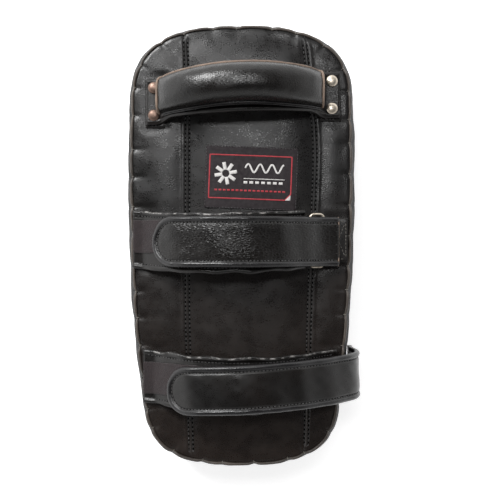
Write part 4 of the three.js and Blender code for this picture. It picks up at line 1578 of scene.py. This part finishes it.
def laid_plate(name, low, high, surface, material, power, turn_by=0.0, wave=0.12, seed=151, cells=36,
               shear=0.0):
    """A thin sewn-on plate with a soft edge, lying on the back; power sets how round its corners are."""
    mid, half = (low[:2] + high[:2]) / 2, (high[:2] - low[:2]) / 2
    turn = circle(4 * cells)
    rim = half * np.column_stack([bent(np.cos(turn), power), bent(np.sin(turn), power)])
    rim = even_spacing(rim, 4 * cells, closed=True)
    thickness = high[2] - low[2]
    shape = [(v, 0.0) for v in np.linspace(0.0, 0.9, 8)] + [(1.0, 0.0), (1.0, 0.5), (0.985, 0.85)]
    shape += [(v, 1.0) for v in np.linspace(0.96, 0.0, 14)]
    loops = []
    for share, rise in shape:
        x, y = turned(mid[0] + rim[:, 0] * share, mid[1] + rim[:, 1] * share, mid, turn_by)
        x = x - shear * (y - mid[1])
        z = surface.height(x, y) + 0.1 + thickness * rise
        if rise == 1:
            z = z + wave * ripple(x, y, seed, 15)
        loops.append(np.column_stack([x, y, z]))
    return grid_piece(name, np.stack(loops, 1), material, True, False, merge=0.01)


def build_rivet(number):
    """A domed rivet: its head, its shank down through the layers, and the closed end under its washer.

    The left pair of rivets is painted browner and darker than the right one: a painted reflection of the
    brown leather round them and painted shade under the grip's end."""
    low, high = corners(f"handle_rivet_{number}")
    x, y = (low[0] + high[0]) / 2, (low[1] + high[1]) / 2
    head, shank = 4.9, 1.95
    brim = high[2] - 3.3
    profile = [(0.0, low[2]), (2.4, low[2] + 0.1), (3.1, low[2] + 0.7), (3.0, low[2] + 1.3)]
    profile += [(shank, low[2] + 1.45), (shank, brim)]
    profile += [(head - 0.5, brim), (head - 0.1, brim + 0.2), (head, brim + 0.6)]
    profile += [(head * math.cos(a), brim + 0.6 + 2.0 * math.sin(a)) for a in np.linspace(0.12, 1.5, 12)]
    profile += [(0.0, brim + 2.6)]
    points = [[(x + r * math.cos(t), y + r * math.sin(t), z) for t in circle(48)] for r, z in profile]
    # painted reflection and shade: the left pair takes the darker, browner metal
    metal = NICKEL if x > 0 else BROWN_SHADED_NICKEL
    piece = grid_piece(f"rivet_{number}", np.array(points), metal, merge=0.01)
    dress(piece, "pad", "hardware", f"handle_rivet_{number}")


# ---------------------------------------------------------------- the label

LABEL_TURN = 2.2  # degrees clockwise


def build_label(surface):
    """A woven label with a red border and a plain mark of its own: a rosette, bars and a folded corner."""
    low, high = corners("woven_label")
    cloth = laid_plate("label_weave", low, high, surface, LABEL_CLOTH, 0.05, LABEL_TURN, 0.22, 161, 60)
    dress(cloth, "pad", "label", "woven_label")
    mid, half = (low + high) / 2, (high - low) / 2
    top = high[2] - low[2] + 0.12
    width, height = half[0] * 0.885, half[1] * 0.69
    shift = np.array([-0.8, 0.6])
    cut = 0.14
    frame_line = np.array([(-width, -height), (width * (1 - cut), -height), (width, -height * (1 - 2 * cut)),
                           (width, height), (-width, height), (-width, -height)]) + mid[:2] + shift
    dress(satin("label_border", [(frame_line, 0.55)], top, LABEL_RED, surface), "pad", "label")
    left = mid[:2] + shift + [-width * 0.6, height * 0.14]
    bars = []
    for k in range(8):
        angle = k * math.pi / 4 + 0.2
        outward = np.array([math.cos(angle), math.sin(angle)])
        bars.append((np.linspace(left + 3.0 * outward, left + 9.6 * outward, 8), 1.6))
    right_x = mid[0] + shift[0] - width * 0.16, mid[0] + shift[0] + width * 0.84
    mid_y = mid[1] + shift[1]
    wave_x = np.linspace(right_x[0] + 1, right_x[1] - 1, 60)
    crest = np.column_stack([wave_x, mid_y + height * 0.42 + 3.6 * np.sin((wave_x - wave_x[0]) * 0.62)])
    bars.append((crest, 0.8))
    bars.append((np.array([(right_x[0], mid_y - 1.2), (right_x[1], mid_y - 1.2)]), 0.35))
    for start in np.linspace(0, 0.86, 7):
        x0 = right_x[0] + (right_x[1] - right_x[0]) * start
        bars.append((np.array([(x0, mid_y - 4.4), (x0 + 3.2, mid_y - 4.4)]), 1.15))
    corner_x, corner_y = mid[0] + shift[0] + width - 0.2, mid[1] + shift[1] - height - 0.1
    for rise in np.linspace(0.3, 3.9, 7):
        fold = [(corner_x - (4.6 - rise), corner_y + rise), (corner_x, corner_y + rise)]
        bars.append((np.array(fold), 0.36))
    dress(satin("label_mark", bars, top + 0.05, LABEL_WHITE, surface), "pad", "label")
    dashes = []
    dash_y = mid_y - height * 0.62
    for start in np.linspace(0.02, 0.94, 17):
        x0 = mid[0] + shift[0] - width * 0.9 + 1.8 * width * start
        dashes.append((np.array([(x0, dash_y), (x0 + 2.4, dash_y)]), 0.8))
    dress(satin("label_lower_bar", dashes, top, LABEL_RED, surface), "pad", "label")
    runs = []
    (x0, y0), (x1, y1) = low[:2] + 0.7, high[:2] - 0.7
    rim = [(x0, y0), (x1, y0), (x1, y1), (x0, y1), (x0, y0)]
    for a, b in zip(rim[:-1], rim[1:]):
        x, y = turned(np.linspace(a[0], b[0], 60), np.linspace(a[1], b[1], 60), mid, LABEL_TURN)
        line = on_surface(surface, x, y, high[2] - low[2] + 0.25)
        runs.append(stitch_run(line, ups_like(line), 2.6, 1.9, 0.25, 0.0))
    sew("label_stitches", runs, DARK_THREAD, "label")


def satin(name, strokes, z, material, surface):
    """Raised satin-stitched strokes: each a low rounded ridge along a flat line, turned with the label."""
    section = [(-1, -0.25), (-0.85, 0.1), (-0.4, 0.22), (0, 0.26), (0.4, 0.22), (0.85, 0.1), (1, -0.25),
               (0, -0.3)]
    points, faces = [], []
    for line, half in strokes:
        line = np.column_stack(turned(*np.asarray(line, float).T, middle("woven_label"), LABEL_TURN))
        count = max(6, int(np.linalg.norm(np.diff(line, axis=0), axis=1).sum() / 0.9))
        line = even_spacing(line, count)
        ahead = headings(line)
        side = np.stack([-ahead[:, 1], ahead[:, 0]], 1)
        base = len(points)
        ground = surface.height(line[:, 0], line[:, 1]) + 0.22 * ripple(line[:, 0], line[:, 1], 161, 15)
        for k in range(count):
            for across, rise in section:
                spot = line[k] + side[k] * across * half
                points.append((spot[0], spot[1], ground[k] + z + rise))
        m = len(section)
        for k in range(count - 1):
            for j in range(m):
                a, b = base + k * m + j, base + k * m + (j + 1) % m
                faces.append([a, b, b + m, a + m])
        faces.append([base + j for j in range(m)])
        faces.append([base + (count - 1) * m + j for j in range(m)][::-1])
    return join_runs(name, [(points, faces)], material)


# ---------------------------------------------------------------- the stage

def paint_world(tree):
    """A studio dim overhead, and brighter round the horizon on the handle's left than on its right."""
    way = tree.nodes.new("ShaderNodeTexCoord").outputs["Generated"]
    height = tree.nodes.new("ShaderNodeSeparateXYZ")
    tree.links.new(way, height.inputs[0])

    def faded(value, low, high, to_low, to_high):
        fade = tree.nodes.new("ShaderNodeMapRange")
        for name, number in (("From Min", low), ("From Max", high), ("To Min", to_low), ("To Max", to_high)):
            fade.inputs[name].default_value = number
        tree.links.new(value, fade.inputs["Value"])
        return fade.outputs[0]

    def blend(share, first, second):
        ramp = tree.nodes.new("ShaderNodeMix")
        ramp.data_type = "RGBA"
        tree.links.new(share, ramp.inputs[0])
        for index, value in ((6, first), (7, second)):
            if isinstance(value, tuple):
                ramp.inputs[index].default_value = (*value, 1)
            else:
                tree.links.new(value, ramp.inputs[index])
        return ramp.outputs[2]

    towards = tree.nodes.new("ShaderNodeVectorMath")
    towards.operation = "DOT_PRODUCT"
    tree.links.new(way, towards.inputs[0])
    towards.inputs[1].default_value = (-0.55, 0.83, 0)
    ring = blend(faded(towards.outputs["Value"], -0.5, 0.6, 0, 1), (0.8, 0.8, 0.8), (1.7, 1.7, 1.7))
    sky = blend(faded(height.outputs["Z"], 0.45, 0.8, 1, 0), (0.05, 0.05, 0.053), ring)
    tree.links.new(sky, tree.nodes["Background"].inputs["Color"])


def build_stage():
    """The floor, the lights and the camera."""
    scene = bpy.context.scene
    size = 20.0
    floor_corners = [(-size, -size, 0), (size, -size, 0), (size, size, 0), (-size, size, 0)]
    mesh = bpy.data.meshes.new("studio_floor")
    mesh.from_pydata(floor_corners, [], [(0, 1, 2, 3)])
    floor = bpy.data.objects.new("studio_floor", mesh)
    floor.location.z = -0.0004
    mesh.materials.append(FLOOR_PAINT)
    scene.collection.objects.link(floor)

    world = bpy.data.worlds.new("studio")
    scene.world = world
    world.use_nodes = True
    paint_world(world.node_tree)

    def soft_box(name, place, aim, width, depth, power):
        light = bpy.data.lights.new(name, "AREA")
        light.shape = "RECTANGLE"
        light.size, light.size_y, light.energy = width, depth, power
        lamp = bpy.data.objects.new(name, light)
        lamp.location = place
        lamp.rotation_euler = (Vector(aim) - Vector(place)).to_track_quat("-Z", "Y").to_euler()
        scene.collection.objects.link(lamp)

    soft_box("overhead_light", (-0.03, 0.38, 1.4), (-0.02, 0.1, 0.1), 0.36, 0.17, 3.6)
    soft_box("handle_end_light", (-0.62, 0.85, 1.15), (-0.05, 0.14, 0.12), 0.5, 0.4, 18)

    camera = bpy.data.cameras.new("camera")
    camera.lens, camera.sensor_width = 62.8, 36
    camera.clip_start = 0.05
    view = bpy.data.objects.new("camera", camera)
    view.location = (0.0032, 0.0005, 0.83)
    view.rotation_euler = (0, 0, 0)
    scene.collection.objects.link(view)
    scene.camera = view
    scene.view_settings.view_transform = "Standard"
    scene.view_settings.look = "None"


build_stage()
build_cover()
BACK = Surface(build_panels())
build_seam_stitches(BACK)
build_welt()
build_foam("strike_foam", "strike_foam_block", DENSE_FOAM, "dense_foam")
build_foam("core_foam", "core_foam_block", SOFT_FOAM, "soft_foam")
build_foam("back_foam", "back_foam_block", SOFT_FOAM, "soft_foam")
build_label(BACK)
build_handle(BACK)
build_middle_strap()
build_ring()
build_lower_strap()

# the CAD's own shapes that stay as they are get a look of their own
PLAIN_LOOKS = {f"rivet_washer_{number}": NICKEL for number in range(1, 5)}
PLAIN_LOOKS["back_reinforcement"] = FIBRE_BOARD
for node, look in PLAIN_LOOKS.items():
    frame["nodes"][node].data.materials.clear()
    frame["nodes"][node].data.materials.append(look)
